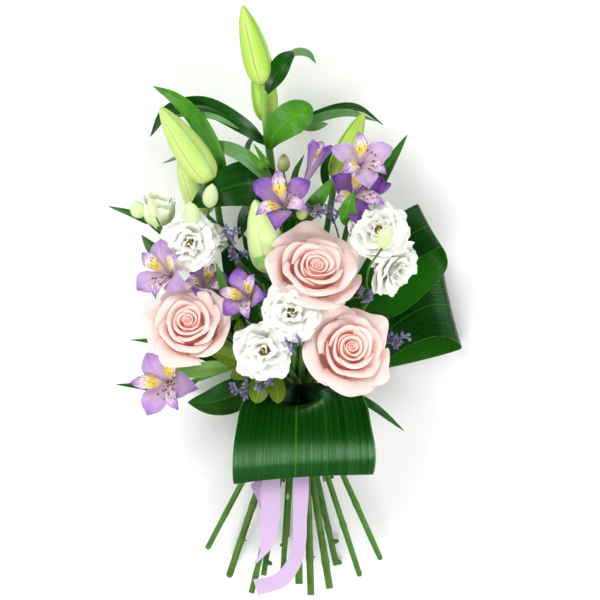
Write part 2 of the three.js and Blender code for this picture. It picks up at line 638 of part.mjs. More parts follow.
// Lisianthus: stems with stalks, cups, buds and leaves
const lisianthusStem = (name, onward, stalks, others) => {
  const made = [mainStem(name, onward), ...others];
  const from = onward[onward.length - 1];
  for (const { key, via } of stalks) {
    const { at, facing } = LISIANTHUS[key];
    made.push(stalk([from, ...via, below(at, facing, 4)], 1.4), cup(at, facing));
  }
  return union(made);
};
add(
  "lisianthus_stem_left",
  lisianthusStem(
    "lisianthus_left",
    [[-78, 29, 69]],
    [
      { key: "left_front", via: [[-88, 44, 72]] },
      { key: "left_side", via: [[-78, 40, 71]] },
      { key: "left_goblet", via: [[-98, 46, 66], [-118, 60, 70]] },
    ],
    [
      stalk([[-110, 55, 69], [-130, 70, 76], [-146, 85, 80]], 1.2),
      smallBud([-146, 84, 80], [-153, 101, 84], 16),
      leaf({ spine: [[-108, 53, 69], [-120, 46, 78], [-134, 52, 80], [-146, 66, 74]], width: 15 }),
      leaf({ spine: [[-138, 77, 78], [-152, 86, 80], [-179, 95, 74]], width: 7, rows: 3 }),
      stalk([[-78, 28, 68], [-84, 58, 68], [-89, 72, 88], [-93, 78, 102]], 1.1),
      smallBud([-93, 77, 102], [-97, 99, 113], 15),
      stalk([[-78, 28, 68], [-78, 58, 67], [-79, 80, 86], [-78, 95, 103]], 1.1),
      smallBud([-78, 94, 102], [-74, 117, 112], 16),
      stalk([[-118, 60, 70], [-122, 66, 92], [-131, 85, 111]], 1.1),
      smallBud([-131, 84, 110], [-137, 101, 119], 10),
    ],
  ),
  COLOURS.stem,
  0.55,
);
add(
  "lisianthus_stem_right",
  lisianthusStem(
    "lisianthus_right",
    [[85, 10, 82]],
    [{ key: "right_upper", via: [[87, 32, 82]] }, { key: "right_lower", via: [[91, 26, 78]] }],
    [
      stalk([[85, 8, 80], [80, 14, 98], [82, 34, 130], [93, 53, 147]], 1.2),
      smallBud([93, 52, 145], [102, 75, 151], 15),
      leaf({ spine: [onStem("lisianthus_right", -76), [84, -104, 58], [118, -131, 42]], width: 8, rows: 3 }),
    ],
  ),
  COLOURS.stem,
  0.55,
);
add(
  "lisianthus_stem_centre",
  lisianthusStem(
    "lisianthus_centre",
    [[-5, -56, 89]],
    [{ key: "centre_upper", via: [[-2, -38, 92]] }, { key: "centre_lower", via: [[-12, -52, 94]] }],
    [],
  ),
  COLOURS.stem,
  0.55,
);

// Sea lavender: thin branching twigs that end in rows of tiny cups
const random = draws(11);
function floretTwig(root, tip, beads = 2) {
  const radii = [0.8];
  for (let k = 0; k < beads; k++) radii.push(2.2, k < beads - 1 ? 0.8 : 1.2);
  return beaded([root, mixPoint(root, tip, 0.5, 1.5), tip], radii, 3);
}
function mixPoint(a, b, t, wander) {
  return a.map((value, axis) => mix(value, b[axis], t) + wander * (2 * random() - 1));
}
function floretHead(root, centre, twigs = 3) {
  const made = [];
  for (let k = 0; k < twigs; k++) {
    const turn = (2 * Math.PI * (k + 0.5 * random())) / twigs;
    const tip = [centre[0] + 8 * Math.cos(turn), centre[1] + 7 * Math.sin(turn), centre[2] + 4 * random()];
    made.push(floretTwig(mixPoint(root, centre, -0.1, 0), tip));
  }
  return made;
}
const spray = (name, paths) =>
  union([
    mainStem(name, [], 4),
    ...paths.flatMap((path) => {
      const end = path[path.length - 1];
      return [stalk(path.slice(0, -1), 1), ...floretHead(path[path.length - 2], end)];
    }),
  ]);
add(
  "limonium_right",
  spray("limonium_right", [
    [onStem("limonium_right", -4), [53, 36, 82], [52, 62, 82], [47, 80, 92], [45, 92, 112]],
    [[47, 79, 92], [38, 87, 98], [31, 92, 108], [27, 90, 122]],
    [[53, 36, 82], [65, 50, 90], [69, 60, 103], [70, 66, 116]],
    [onStem("limonium_right", -8), [64, 2, 88], [74, 4, 100], [77, 6, 112]],
    [onStem("limonium_right", -50), [60, -53, 73], [100, -42, 74], [116, -37, 78]],
  ]),
  COLOURS.limonium,
  0.8,
);
add(
  "limonium_left",
  spray("limonium_left", [
    [onStem("limonium_left", 12), [-40, 31, 72], [-48, 42, 86], [-50, 50, 97]],
    [[-40, 31, 72], [-52, 50, 85], [-55, 60, 97], [-57, 68, 108]],
  ]),
  COLOURS.limonium,
  0.8,
);
add(
  "limonium_front",
  spray("limonium_front", [
    [onStem("limonium_front", -70), [-4, -62, 94], [8, -47, 122], [6, -41, 150]],
    [onStem("limonium_front", -68), [-22, -84, 94], [-24, -88, 110], [-23, -82, 126]],
    [onStem("limonium_front", -68), [-30, -88, 92], [-40, -91, 98], [-49, -88, 104]],
  ]),
  COLOURS.limonium,
  0.8,
);

// Foliage
add(
  "foliage_left",
  joined(
    mainStem("foliage_left"),
    leaf({ spine: [[-34, -61, 26], [-50, -92, 24], [-74, -102, 24], [-101, -103, 20]], width: 34 }),
    leaf({ spine: [[-34, -61, 26], [-58, -50, 26], [-84, -46, 30], [-112, -50, 28]], width: 26 }),
  ),
  COLOURS.leaf,
  0.5,
);
const oliveLeaf = (spine, width) => leaf({ spine, width, widest: 0.6, fold: 0.15 });
add(
  "foliage_olive",
  joined(
    mainStem("foliage_olive", [], 4),
    oliveLeaf([[-27.5, -66.5, 69.8], [-40, -63, 78], [-56, -56, 85], [-71, -51, 86]], 19),
    oliveLeaf([[-26, -67, 69], [-40, -70, 73], [-57, -76, 72]], 15),
    oliveLeaf([[-22, -69, 66.5], [-30, -84, 76], [-45, -95, 80]], 17),
    oliveLeaf([[-22, -69, 66.5], [-18, -84, 78], [-12, -102, 84]], 16),
  ),
  COLOURS.olive,
  0.5,
);

// Aspidistra leaves: one folded down over the tie, two folded back to the right and one flat at the back
const aspidistra = (name, left, right, options) =>
  joined(mainStem(name, [], 4), strip(left, right, { thickness: ASPIDISTRA_THICKNESS, ...options }));
add(
  "aspidistra_collar",
  aspidistra(
    "aspidistra_collar",
    [
      [11, -84, 62], [5, -70, 80], [-22, -84, 92], [-42, -97, 96], [-51, -129, 101], [-54, -159, 100],
      [-53, -184, 90], [-48, -176, 80], [-44, -150, 77], [-28, -126, 77], [2, -112, 77],
    ],
    [
      [15, -84, 62], [18, -70, 80], [47, -82, 92], [75, -94, 96], [85, -130, 101], [89, -155, 100],
      [86, -174, 90], [82, -164, 80], [76, -145, 77], [52, -122, 77], [12, -112, 77],
    ],
    { columns: 3, rows: 14 },
  ),
  COLOURS.aspidistra,
  0.35,
);
add(
  "aspidistra_upper",
  aspidistra(
    "aspidistra_upper",
    [
      [54, -33, 44], [84, -22, 48], [112, -14, 50], [140, 8, 50], [160, 31, 56], [161, 43, 66],
      [154, 54, 77], [138, 46, 80], [123, 39, 80], [112, 34, 79],
    ],
    [
      [50, -33, 44], [62, 8, 46], [82, 46, 47], [104, 73, 47], [122, 90, 50], [132, 96, 61], [130, 97, 72],
      [120, 92, 78], [110, 86, 80], [102, 80, 79],
    ],
    { columns: 3, rows: 11 },
  ),
  COLOURS.aspidistra,
  0.35,
);
add(
  "aspidistra_lower",
  aspidistra(
    "aspidistra_lower",
    [
      [50, -67, 14], [82, -72, 9], [108, -67, 6], [143, -59, 4], [168, -52, 8], [177, -48, 20],
      [173, -42, 34], [160, -36, 39], [143, -37, 42], [118, -48, 43], [103, -58, 42],
    ],
    [
      [50, -63, 14], [70, -35, 9], [92, -6, 5], [118, 14, 2], [146, 27, 2], [158, 31, 12], [156, 33, 24],
      [146, 30, 31], [130, 22, 36], [113, 9, 40], [99, -4, 41],
    ],
    { columns: 3, rows: 12 },
  ),
  COLOURS.aspidistra,
  0.35,
);
const flat = ASPIDISTRA_THICKNESS / 2;
add(
  "aspidistra_back",
  aspidistra(
    "aspidistra_back",
    [
      [6, -66, 9], [-8, -50, 5], [-28, -30, flat], [-36, 10, flat], [-34, 40, flat], [-25, 70, flat],
      [-10, 96, flat], [0, 112, flat],
    ],
    [
      [10, -66, 9], [24, -50, 5], [42, -30, flat], [46, 10, flat], [42, 40, flat], [30, 70, flat],
      [14, 96, flat], [4, 112, flat],
    ],
    { columns: 1, rows: 10, square: true, floor: flat },
  ),
  COLOURS.aspidistra,
  0.35,
);

// Ribbon: the band round the stems, and two tails that hang from it over the stems
function band() {
  const outline = new THREE.Shape().absarc(0, 0, BAND_RADIUS + 1, 0, 2 * Math.PI);
  outline.holes.push(new THREE.Path().absarc(0, 0, BAND_RADIUS, 0, 2 * Math.PI, true));
  const settings = { depth: RIBBON_WIDTH, bevelEnabled: false, curveSegments: 11 };
  const ring = new THREE.ExtrudeGeometry(outline, settings).rotateX(Math.PI / 2);
  return solid(ring.translate(TIE[0], TIE[1] + RIBBON_WIDTH / 2, TIE[2]));
}
add("ribbon_band", band(), COLOURS.ribbon, 0.5);
const tail = (left, right, rows) =>
  strip(left, right, { columns: 1, rows, thickness: RIBBON_THICKNESS, square: true });
add(
  "ribbon_tails",
  joined(
    solid(new THREE.SphereGeometry(8, 7, 4).scale(1.3, 0.9, 0.5).translate(4, -116, 69)),
    tail(
      [
        [-4, -114, 69], [-18, -140, 70], [-26, -165, 70], [-27, -184, 71], [-27, -219, 70],
        [-28, -254, 67], [-34, -263, 66],
      ],
      [
        [6, -110, 69], [0, -138, 70], [-6, -165, 70], [-7, -184, 71], [-8, -222, 70],
        [-14, -246, 67], [-32, -265, 66],
      ],
      9,
    ),
    tail(
      [[-27, -180, 71], [-36, -184, 74], [-31, -197, 73], [-26, -212, 70]],
      [[-24, -180, 71], [-27, -192, 71], [-25, -203, 70], [-24, -213, 70]],
      3,
    ),
    tail(
      [
        [0, -112, 69], [3, -145, 70], [6, -181, 71], [6, -219, 71], [5, -244, 70],
        [-1, -262, 70], [-13, -275, 68], [-34, -280, 67],
      ],
      [
        [10, -112, 69], [17, -145, 70], [22, -181, 71], [20, -219, 71], [19, -244, 70],
        [14, -265, 70], [-1, -286, 68], [-29, -296, 67],
      ],
      11,
    ),
  ),
  COLOURS.ribbon,
  0.5,
);

// Blooms and buds
for (const [key, { at, tip, diameter }] of Object.entries(LILY_BUDS)) {
  const axis = vec(tip).sub(vec(at));
  const bud = placed(lilyBud(axis.length(), diameter), frameAt(at, axis.toArray(), 20));
  add("lily_bud_" + key, bud, COLOURS.bud, 0.5);
}
const purpleAxis = [16, 7, 20];
const purpleBud = lilyBud(vec(purpleAxis).length(), 12, 6);
const purpleFrame = frameAt([87.4, 109.6, 98.6], purpleAxis);
add("alstroemeria_bud", placed(purpleBud, purpleFrame), COLOURS.alstroemeria, 0.5);
for (const [key, { at, facing, size, opening, roll, rings }] of Object.entries(LISIANTHUS)) {
  const bloom = placed(lisianthusBloom(size, opening, rings), frameAt(at, facing, roll));
  add("lisianthus_" + key, bloom, COLOURS.lisianthus, 0.6);
}
for (const [key, { at, facing, size, opening, roll, stamens = 1 }] of Object.entries(ALSTROEMERIAS)) {
  const bloom = placed(alstroemeriaBloom(size, opening, stamens), frameAt(at, facing, roll));
  add("alstroemeria_" + key, bloom, COLOURS.alstroemeria, 0.6);
}
for (const [key, { at, facing, size, roll }] of Object.entries(ROSES))
  add("rose_bloom_" + key, placed(roseBloom(size), frameAt(at, facing, roll)), COLOURS.rose, 0.6);

// ---- Neighbours that press against each other are cut clear ----
// The one named first in this order keeps its shape.
const ORDER = [
  /_stem_|^ribbon_band/, /^limonium_front/, /^lisianthus_centre/, /^aspidistra_collar/, /^lily_bud/,
  /^lisianthus_/, /^alstroemeria_/, /^rose_bloom/, /./,
];
const rank = (name) => ORDER.findIndex((pattern) => pattern.test(name));

// A solid with its skin thickened by a step, where it comes near another one.
function thickened(made, near, step) {
  const corner = geometryOf(made).toNonIndexed().attributes.position;
  const { min, max } = near.boundingBox();
  const zone = new THREE.Box3(vec(min), vec(max)).expandByScalar(step);
  const around = new THREE.OctahedronGeometry(step).attributes.position;
  const skin = [];
  for (let i = 0; i < corner.count; i += 3) {
    const triangle = new THREE.Triangle().setFromAttributeAndIndices(corner, i, i + 1, i + 2);
    if (!zone.intersectsTriangle(triangle)) continue;
    const points = [];
    for (const end of [triangle.a, triangle.b, triangle.c])
      for (let k = 0; k < around.count; k++)
        points.push(new THREE.Vector3().fromBufferAttribute(around, k).add(end));
    skin.push(solid(new ConvexGeometry(points)));
  }
  return union([made, ...skin]);
}
const overlapping = (a, b) => [0, 1, 2].every((i) => a.min[i] < b.max[i] + 1 && b.min[i] < a.max[i] + 1);
const largest = (made) => made.decompose().sort((a, b) => b.volume() - a.volume())[0];
const settled = [];
for (const node of [...nodes].sort((a, b) => rank(a.name) - rank(b.name))) {
  for (const other of settled) {
    if (!overlapping(node.made.boundingBox(), other.made.boundingBox())) continue;
    if (node.made.minGap(other.made, NODE_GAP) > 0.2) continue;
    node.made = largest(node.made.subtract(thickened(other.made, node.made, NODE_GAP)));
  }
  node.made = largest(node.made.simplify(0.2));
  settled.push(node);
}

const bouquet = new THREE.Group();
bouquet.name = "mixed_flower_bouquet";
const boxes = nodes.map(({ made }) => made.boundingBox());
const low = [0, 1, 2].map((i) => Math.min(...boxes.map(({ min }) => min[i])));
const high = [0, 1, 2].map((i) => Math.max(...boxes.map(({ max }) => max[i])));
const home = [-(low[0] + high[0]) / 2, -(low[1] + high[1]) / 2, -low[2]];
for (const { name, made, colour, roughness } of nodes) {
  const material = new THREE.MeshStandardMaterial({ color: colour, roughness, metalness: 0 });
  const mesh = new THREE.Mesh(geometryOf(made.translate(home)), material);
  mesh.name = name;
  bouquet.add(mesh);
}

export default bouquet;
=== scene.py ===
# %% [markdown]
# # Dressing a hand-tied bouquet
# The bouquet lies on its back: its stems, leaves and blooms already exist as plain faceted solids
# with the right sizes and places. This notebook replaces each of them with a finer piece in the
# same place, gives it a finish, and sets up a plain studio round it. All shapes are worked out in
# millimetres in the solids' own frame, because florists' sizes are easy to judge that way, and are
# turned into Blender's metres when a piece is made.

# %% Load the solids and measure them
import math
import random

import bpy
import numpy as np
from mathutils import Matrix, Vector


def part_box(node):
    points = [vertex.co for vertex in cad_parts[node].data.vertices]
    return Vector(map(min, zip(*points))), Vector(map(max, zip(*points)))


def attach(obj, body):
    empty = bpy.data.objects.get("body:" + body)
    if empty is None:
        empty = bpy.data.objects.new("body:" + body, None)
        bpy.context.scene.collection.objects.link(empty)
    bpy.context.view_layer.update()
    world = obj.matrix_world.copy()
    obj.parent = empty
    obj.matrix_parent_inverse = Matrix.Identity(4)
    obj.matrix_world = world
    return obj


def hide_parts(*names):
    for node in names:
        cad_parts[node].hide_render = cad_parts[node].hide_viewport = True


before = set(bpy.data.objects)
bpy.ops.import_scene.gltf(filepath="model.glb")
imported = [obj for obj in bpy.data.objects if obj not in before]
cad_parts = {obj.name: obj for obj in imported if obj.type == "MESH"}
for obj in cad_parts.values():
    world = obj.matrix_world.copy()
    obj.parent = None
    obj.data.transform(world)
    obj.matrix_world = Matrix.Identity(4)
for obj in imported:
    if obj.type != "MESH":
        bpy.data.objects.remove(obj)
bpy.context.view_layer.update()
MM = 0.001
TIE = np.array([10.0, -96.0, 40.0])
band_low, band_high = (np.array(corner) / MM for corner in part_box("ribbon_band"))
HOME = (band_low + band_high) / 2 - TIE
print("nodes", len(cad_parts), "shift of the model's own frame, mm", HOME.round(3))

# %% [markdown]
# ## Camera
# The photograph looks straight down on the bouquet. A long lens from far away keeps the near blooms
# from looking larger than the far stems, so every stem stands where the photograph has it. The
# width of view is counted at the level of the open blooms.

# %% Camera
VIEW_WIDTH = 600 * MM
VIEW_CENTRE = (14 * MM, 1.1 * MM)
CAMERA_HEIGHT = 4.5
BLOOM_LEVEL = 90 * MM

scene = bpy.context.scene
camera_data = bpy.data.cameras.new("camera")
camera_data.sensor_width = 36
camera_data.lens = 36 * (CAMERA_HEIGHT - BLOOM_LEVEL) / VIEW_WIDTH
camera = bpy.data.objects.new("camera", camera_data)
camera.location = (*VIEW_CENTRE, CAMERA_HEIGHT)
scene.collection.objects.link(camera)
scene.camera = camera
print("lens, mm", round(camera_data.lens))

# %% [markdown]
# ## Light and floor
# Cut flowers are photographed in soft light, which shows thin petals without hard shadows. One broad
# lamp beyond the buds makes the main light, and a long one beyond the stems and a weaker one at the
# right fill the shadows. The world is white at the horizon and darker overhead, so the glossy leaves,
# which mirror what is above them, stay deep green. The floor is a plain pale sheet just under the
# lowest leaf.

# %% Light and floor
# Each lamp's place and size in metres, and its power in watts.
LAMPS = {
    "main_light": ((-1.1, 1.2, 1.7), (1.2, 1.2), 34),
    "front_light": ((0.0, -1.3, 1.75), (1.6, 0.55), 27),
    "right_light": ((1.75, 0.35, 1.3), (1.2, 1.2), 16),
}
LAMPS_LOOK_AT = np.array([0.0, 0.0, 0.05])
for name, (place, size, power) in LAMPS.items():
    data = bpy.data.lights.new(name, "AREA")
    data.shape = "RECTANGLE"
    data.size, data.size_y = size
    data.energy = power
    lamp = bpy.data.objects.new(name, data)
    lamp.location = place
    lamp.rotation_mode = "QUATERNION"
    lamp.rotation_quaternion = Vector(LAMPS_LOOK_AT - np.array(place)).to_track_quat("-Z", "Y")
    scene.collection.objects.link(lamp)

# The sky's colours, and where they stand between the horizon at 0 and the top at 1.
SKY = ((0.45, (1, 1, 1, 1)), (0.85, (0.1, 0.1, 0.1, 1)))
SKY_STRENGTH = 0.95
world = bpy.data.worlds.new("studio")
world.use_nodes = True
sky = world.node_tree
height = sky.nodes.new("ShaderNodeSeparateXYZ")
shade = sky.nodes.new("ShaderNodeValToRGB")
for element, (level, colour) in zip(shade.color_ramp.elements, SKY):
    element.position = level
    element.color = colour
sky.links.new(sky.nodes.new("ShaderNodeTexCoord").outputs["Generated"], height.inputs[0])
sky.links.new(height.outputs["Z"], shade.inputs[0])
sky.links.new(shade.outputs[0], sky.nodes["Background"].inputs["Color"])
sky.nodes["Background"].inputs["Strength"].default_value = SKY_STRENGTH
scene.world = world
scene.view_settings.view_transform = "Standard"

FLOOR_SIZE, FLOOR_LEVEL, FLOOR_GREY = 12, -0.4 * MM, 0.93
floor_mesh = bpy.data.meshes.new("floor")
reach = FLOOR_SIZE / 2
floor_corners = [(-reach, -reach), (reach, -reach), (reach, reach), (-reach, reach)]
floor_mesh.from_pydata([(x, y, FLOOR_LEVEL) for x, y in floor_corners], [], [(0, 1, 2, 3)])
floor_finish = bpy.data.materials.new("floor")
floor_finish.use_nodes = True
floor_shader = floor_finish.node_tree.nodes["Principled BSDF"]
floor_shader.inputs["Base Color"].default_value = (FLOOR_GREY, FLOOR_GREY, FLOOR_GREY, 1)
floor_mesh.materials.append(floor_finish)
floor = bpy.data.objects.new("floor", floor_mesh)
scene.collection.objects.link(floor)
print("lamps", len(LAMPS), "floor, m", FLOOR_SIZE)

# %% [markdown]
# ## Curves
# Stems, midribs and the edges of folded leaves are smooth curves through a few given points. The
# centripetal Catmull-Rom spline passes through all of them and doesn't loop where two are close, and
# it is the curve that the solids were made with, so the finer pieces land on them exactly.


# %% Curves
def unit(vectors):
    """The same directions with length 1."""
    vectors = np.asarray(vectors, float)
    return vectors / np.maximum(np.linalg.norm(vectors, axis=-1, keepdims=True), 1e-9)


def mix(a, b, t):
    return a + (b - a) * t


def spline(points):
    """A smooth curve through points. It takes a place from 0 to 1, or an array of places."""
    knots = np.array(points, float)
    ends = np.vstack([2 * knots[0] - knots[1], knots, 2 * knots[-1] - knots[-2]])
    gaps = np.sqrt(np.linalg.norm(np.diff(ends, axis=0), axis=1))

    def curve(t):
        place = np.clip(np.asarray(t, float), 0, 1) * (len(knots) - 1)
        i = np.minimum(place.astype(int), len(knots) - 2)
        w = (place - i)[..., None]
        p0, p1, p2, p3 = (ends[i + k] for k in range(4))
        d0, d1, d2 = (gaps[i + k][..., None] for k in range(3))
        m1 = ((p1 - p0) / d0 - (p2 - p0) / (d0 + d1) + (p2 - p1) / d1) * d1
        m2 = ((p2 - p1) / d1 - (p3 - p1) / (d1 + d2) + (p3 - p2) / d2) * d1
        a, b = 2 * w**3 - 3 * w**2, w**3 - w**2
        return (a + 1) * p1 + (b - w**2 + w) * m1 - a * p2 + b * m2

    return curve


def heading(curve, t, step=0.004):
    """The direction in which a curve runs at a place."""
    t = np.clip(t, step, 1 - step)
    return unit(curve(t + step) - curve(t - step))


def bezier(t, start, low, high, end):
    """A cubic Bezier curve: it leaves start towards low and comes to end from high."""
    return (1 - t) ** 3 * start + 3 * (1 - t) ** 2 * t * low + 3 * (1 - t) * t**2 * high + t**3 * end


print("shares of a Bezier curve's four points half way", bezier(0.5, *np.eye(4)))


# %% [markdown]
# ## Shells
# Petals, leaves and ribbons are thin sheets, and stems, buds and cores are round bodies. Both are
# grids of quads, so NumPy can work out all their corners at once. A sheet is laid out as a middle
# surface and thickened on both sides, which keeps it closed. Each shell also carries a UV map, with
# x across or around it and y from its root to its tip, which the veins of the finishes follow.


# %% Shells
LEAST_RADIUS = 0.02


class Shell:
    """A closed surface: corners, quads, end caps, a UV place for each face corner, and its side."""

    def __init__(self, points, quads, caps, quad_uv, side):
        self.points, self.quads, self.caps = points, quads, caps
        self.quad_uv, self.side = quad_uv, side

    def moved(self, matrix):
        points = self.points @ matrix[:3, :3].T + matrix[:3, 3]
        return Shell(points, self.quads, self.caps, self.quad_uv, self.side)


def blade(at, columns, rows, thickness, edge=0.3):
    """A thin sheet about the surface at(u, v): u is -1 to 1 across, v is 0 to 1 along."""
    u, v = np.meshgrid(np.linspace(-1, 1, columns + 1), np.linspace(0, 1, rows + 1))
    middle = at(u, v)
    normal = unit(np.cross(np.gradient(middle, axis=1), np.gradient(middle, axis=0)))
    half = (thickness / 2 * (1 - (1 - edge) * np.abs(u) ** 3))[..., None]
    upper, lower = (middle + normal * half).reshape(-1, 3), (middle - normal * half).reshape(-1, 3)
    width, under = columns + 1, u.size
    index = np.arange(under).reshape(rows + 1, width)
    a, b, c, d = index[:-1, :-1], index[:-1, 1:], index[1:, 1:], index[1:, :-1]
    top = np.stack([a, b, c, d], -1).reshape(-1, 4)
    bottom = np.stack([a, d, c, b], -1).reshape(-1, 4) + under
    left, right, root, tip = index[:, 0], index[:, -1], index[0], index[-1]
    rims = []
    for line, forward in ((left, False), (right, True), (root, False), (tip, True)):
        here, there = line[:-1], line[1:]
        outward = forward if line is left or line is right else not forward
        quad = [here, here + under, there + under, there]
        rims.append(np.stack(quad if outward else [quad[k] for k in (0, 3, 2, 1)], -1))
    quads = np.concatenate([top, bottom, *rims])
    uv = np.stack([(u + 1) / 2, v], -1).reshape(-1, 2)
    uv = np.concatenate([uv, uv])
    side = np.concatenate([np.ones(under), np.zeros(under)])
    return Shell(np.concatenate([upper, lower]), quads, [], uv[quads], side)


def round_shell(rings):
    """A round body through rings of corners, an array of (ring, corner, xyz), closed by two caps."""
    count, sides = rings.shape[:2]
    index = np.arange(count * sides).reshape(count, sides)
    nearby = np.roll(index, -1, axis=1)
    quads = np.stack([index[:-1], nearby[:-1], nearby[1:], index[1:]], -1).reshape(-1, 4)
    around, along = np.meshgrid(np.arange(sides) / sides, np.arange(count) / (count - 1))
    next_round = around + 1 / sides
    corners = [
        (around[:-1], along[:-1]), (next_round[:-1], along[:-1]),
        (next_round[1:], along[1:]), (around[1:], along[1:]),
    ]
    uv = np.stack([np.stack(pair, -1) for pair in corners], -2).reshape(-1, 4, 2)
    caps = [index[0][::-1], index[-1]]
    return Shell(rings.reshape(-1, 3), quads, caps, uv, np.ones(count * sides))


def tube(line, radius, sides=12, rounded=(False, False)):
    """A tube along points, with one radius or one for each point, and flat or rounded ends."""
    line = np.asarray(line, float)
    radius = np.broadcast_to(np.asarray(radius, float), len(line)).copy()
    for end, is_round in ((0, rounded[0]), (-1, rounded[1])):
        if not is_round:
            continue
        outward = unit(line[0] - line[1]) if end == 0 else unit(line[-1] - line[-2])
        turns = np.radians([25, 50, 75])
        extra = line[end] + np.sin(turns)[:, None] * radius[end] * outward
        thin = np.cos(turns) * radius[end]
        if end == 0:
            line, radius = np.vstack([extra[::-1], line]), np.concatenate([thin[::-1], radius])
        else:
            line, radius = np.vstack([line, extra]), np.concatenate([radius, thin])
    ahead = unit(np.gradient(line, axis=0))
    sideways = np.empty_like(line)
    start = np.cross(ahead[0], (0, 0, 1) if abs(ahead[0][2]) < 0.9 else (1, 0, 0))
    for k, direction in enumerate(ahead):
        start = unit(start - direction * np.dot(start, direction))
        sideways[k] = start
    upward = np.cross(ahead, sideways)
    angle = 2 * math.pi * np.arange(sides) / sides
    c, s = np.cos(angle)[None, :, None], np.sin(angle)[None, :, None]
    spokes = c * sideways[:, None] + s * upward[:, None]
    return round_shell(line[:, None] + radius[:, None, None] * spokes)


def turned(profile, sides=16, lobes=0, lobe_depth=0.0, smooth_to=None):
    """A body turned about its own +Z from [radius, height] pairs, with lobes swelling round it."""
    profile = np.array(profile, float)
    if smooth_to:
        flat = spline(np.column_stack([profile, np.zeros(len(profile))]))
        profile = flat(np.linspace(0, 1, smooth_to))[:, :2]
    radius, height = np.maximum(profile[:, 0], LEAST_RADIUS), profile[:, 1]
    angle = 2 * math.pi * np.arange(sides) / sides
    swell = 1 + lobe_depth * np.cos(lobes * angle)
    x, y = (radius[:, None] * swell * wave(angle) for wave in (np.cos, np.sin))
    return round_shell(np.stack([x, y, np.broadcast_to(height[:, None], x.shape)], -1))


def frame_at(origin, facing, roll=0.0):
    """A bloom's place: its +Z looks along facing and its +Y stays near the bouquet's +Y."""
    z = unit(facing)
    x = unit(np.cross((0, 1, 0), z))
    y = np.cross(z, x)
    c, s = math.cos(math.radians(roll)), math.sin(math.radians(roll))
    matrix = np.eye(4)
    matrix[:3, :3] = np.column_stack([x, y, z]) @ np.array([[c, -s, 0], [s, c, 0], [0, 0, 1]])
    matrix[:3, 3] = origin
    return matrix


print("corners of a plain tube", len(tube([(0, 0, 0), (0, 0, 1)], 1).points))


# %% [markdown]
# ## Pieces
# A piece is one Blender object that stands for one solid. It gathers the shells of a bloom or a stem
# and writes them to a mesh together with three values for its finishes: side is 1 on the upper face
# of a sheet, depth runs from 0 at a bloom's heart to 1 at its outer petals, and tone differs from
# one petal or leaf to the next, so that no two look alike. On the ribbon a low tone marks the fold,
# which its finish darkens with painted shade.


# %% Pieces
FINISHES = {}
SHARP_ANGLE = math.radians(55)
made_pieces = []


class Piece:
    """Shells that become one object, which replaces a solid."""

    def __init__(self, node, slot, name=None):
        self.name, self.node, self.slot = name or node + "_dressed", node, slot
        self.shells = []

    def add(self, shell, finish, depth=0.5, tone=0.5, place=None, cap=None):
        if place is not None:
            shell = shell.moved(place)
        self.shells.append((shell, finish, depth, tone, cap or finish))
        return self

    def make(self):
        names = list(dict.fromkeys(n for _, f, _, _, c in self.shells for n in (f, c)))
        faces, slots, corner_uv = [], [], []
        offset = 0
        for shell, finish, _, _, cap in self.shells:
            faces += (shell.quads + offset).tolist() + [(c + offset).tolist() for c in shell.caps]
            slots += [names.index(finish)] * len(shell.quads) + [names.index(cap)] * len(shell.caps)
            corner_uv.append(shell.quad_uv.reshape(-1, 2))
            corner_uv.append(np.full((sum(len(c) for c in shell.caps), 2), 0.5))
            offset += len(shell.points)
        mesh = bpy.data.meshes.new(self.name)
        points = np.concatenate([shell.points for shell, *_ in self.shells])
        mesh.from_pydata((points + HOME) * MM, [], faces)
        mesh.uv_layers.new(name="UVMap").data.foreach_set("uv", np.concatenate(corner_uv).ravel())
        values = {
            "side": [shell.side for shell, *_ in self.shells],
            "depth": [np.broadcast_to(d, len(s.points)) for s, _, d, _, _ in self.shells],
            "tone": [np.broadcast_to(t, len(s.points)) for s, _, _, t, _ in self.shells],
        }
        for key, value in values.items():
            stored = mesh.attributes.new(key, "FLOAT", "POINT")
            stored.data.foreach_set("value", np.concatenate(value))
        for name in names:
            mesh.materials.append(FINISHES[name])
        mesh.polygons.foreach_set("material_index", slots)
        mesh.polygons.foreach_set("use_smooth", [True] * len(faces))
        mesh.set_sharp_from_angle(angle=SHARP_ANGLE)
        return settle(bpy.data.objects.new(self.name, mesh), self.node, self.slot)


def settle(piece, node, slot):
    """Puts a piece in the scene, in place of a solid."""
    if piece.name not in scene.collection.objects:
        scene.collection.objects.link(piece)
    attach(piece, "root")
    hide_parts(node)
    made_pieces.append(piece)
    return piece


# %% [markdown]
# ## Shader helpers
# A finish is a small tree of shader nodes. The helper below adds one node with its settings and
# inputs in a single call, so that a finish reads as a list of what it is made of. Colours are given
# as 0 to 255, as a colour picker shows them, and turned into the linear values Blender works in.


# %% Shader helpers
def paint(red, green, blue):
    """A colour picker's 0 to 255 as linear red, green, blue and alpha."""
    channels = [value / 255 for value in (red, green, blue)]
    linear = [c / 12.92 if c <= 0.04045 else ((c + 0.055) / 1.055) ** 2.4 for c in channels]
    return (*linear, 1)


def put(tree, kind, inputs=None, **settings):
    """Adds a node. Its inputs are given by name or number, as values or as other nodes' outputs.

    kind is a node's whole name, or a shader node's name without its first word."""
    made = tree.nodes.new(kind if "Node" in kind else "ShaderNode" + kind)
    for key, value in settings.items():
        setattr(made, key, value)
    for key, value in (inputs or {}).items():
        if isinstance(value, bpy.types.NodeSocket):
            tree.links.new(value, made.inputs[key])
        else:
            made.inputs[key].default_value = value
    return made


def maths(tree, operation, *values, clamp=False):
    made = put(tree, "Math", dict(enumerate(values)), operation=operation, use_clamp=clamp)
    return made.outputs[0]


def times(tree, first, second):
    return maths(tree, "MULTIPLY", first, second)


def stretched(tree, value, factor, shift, clamp=False):
    """A value times a factor, plus a shift."""
    return maths(tree, "MULTIPLY_ADD", value, factor, shift, clamp=clamp)


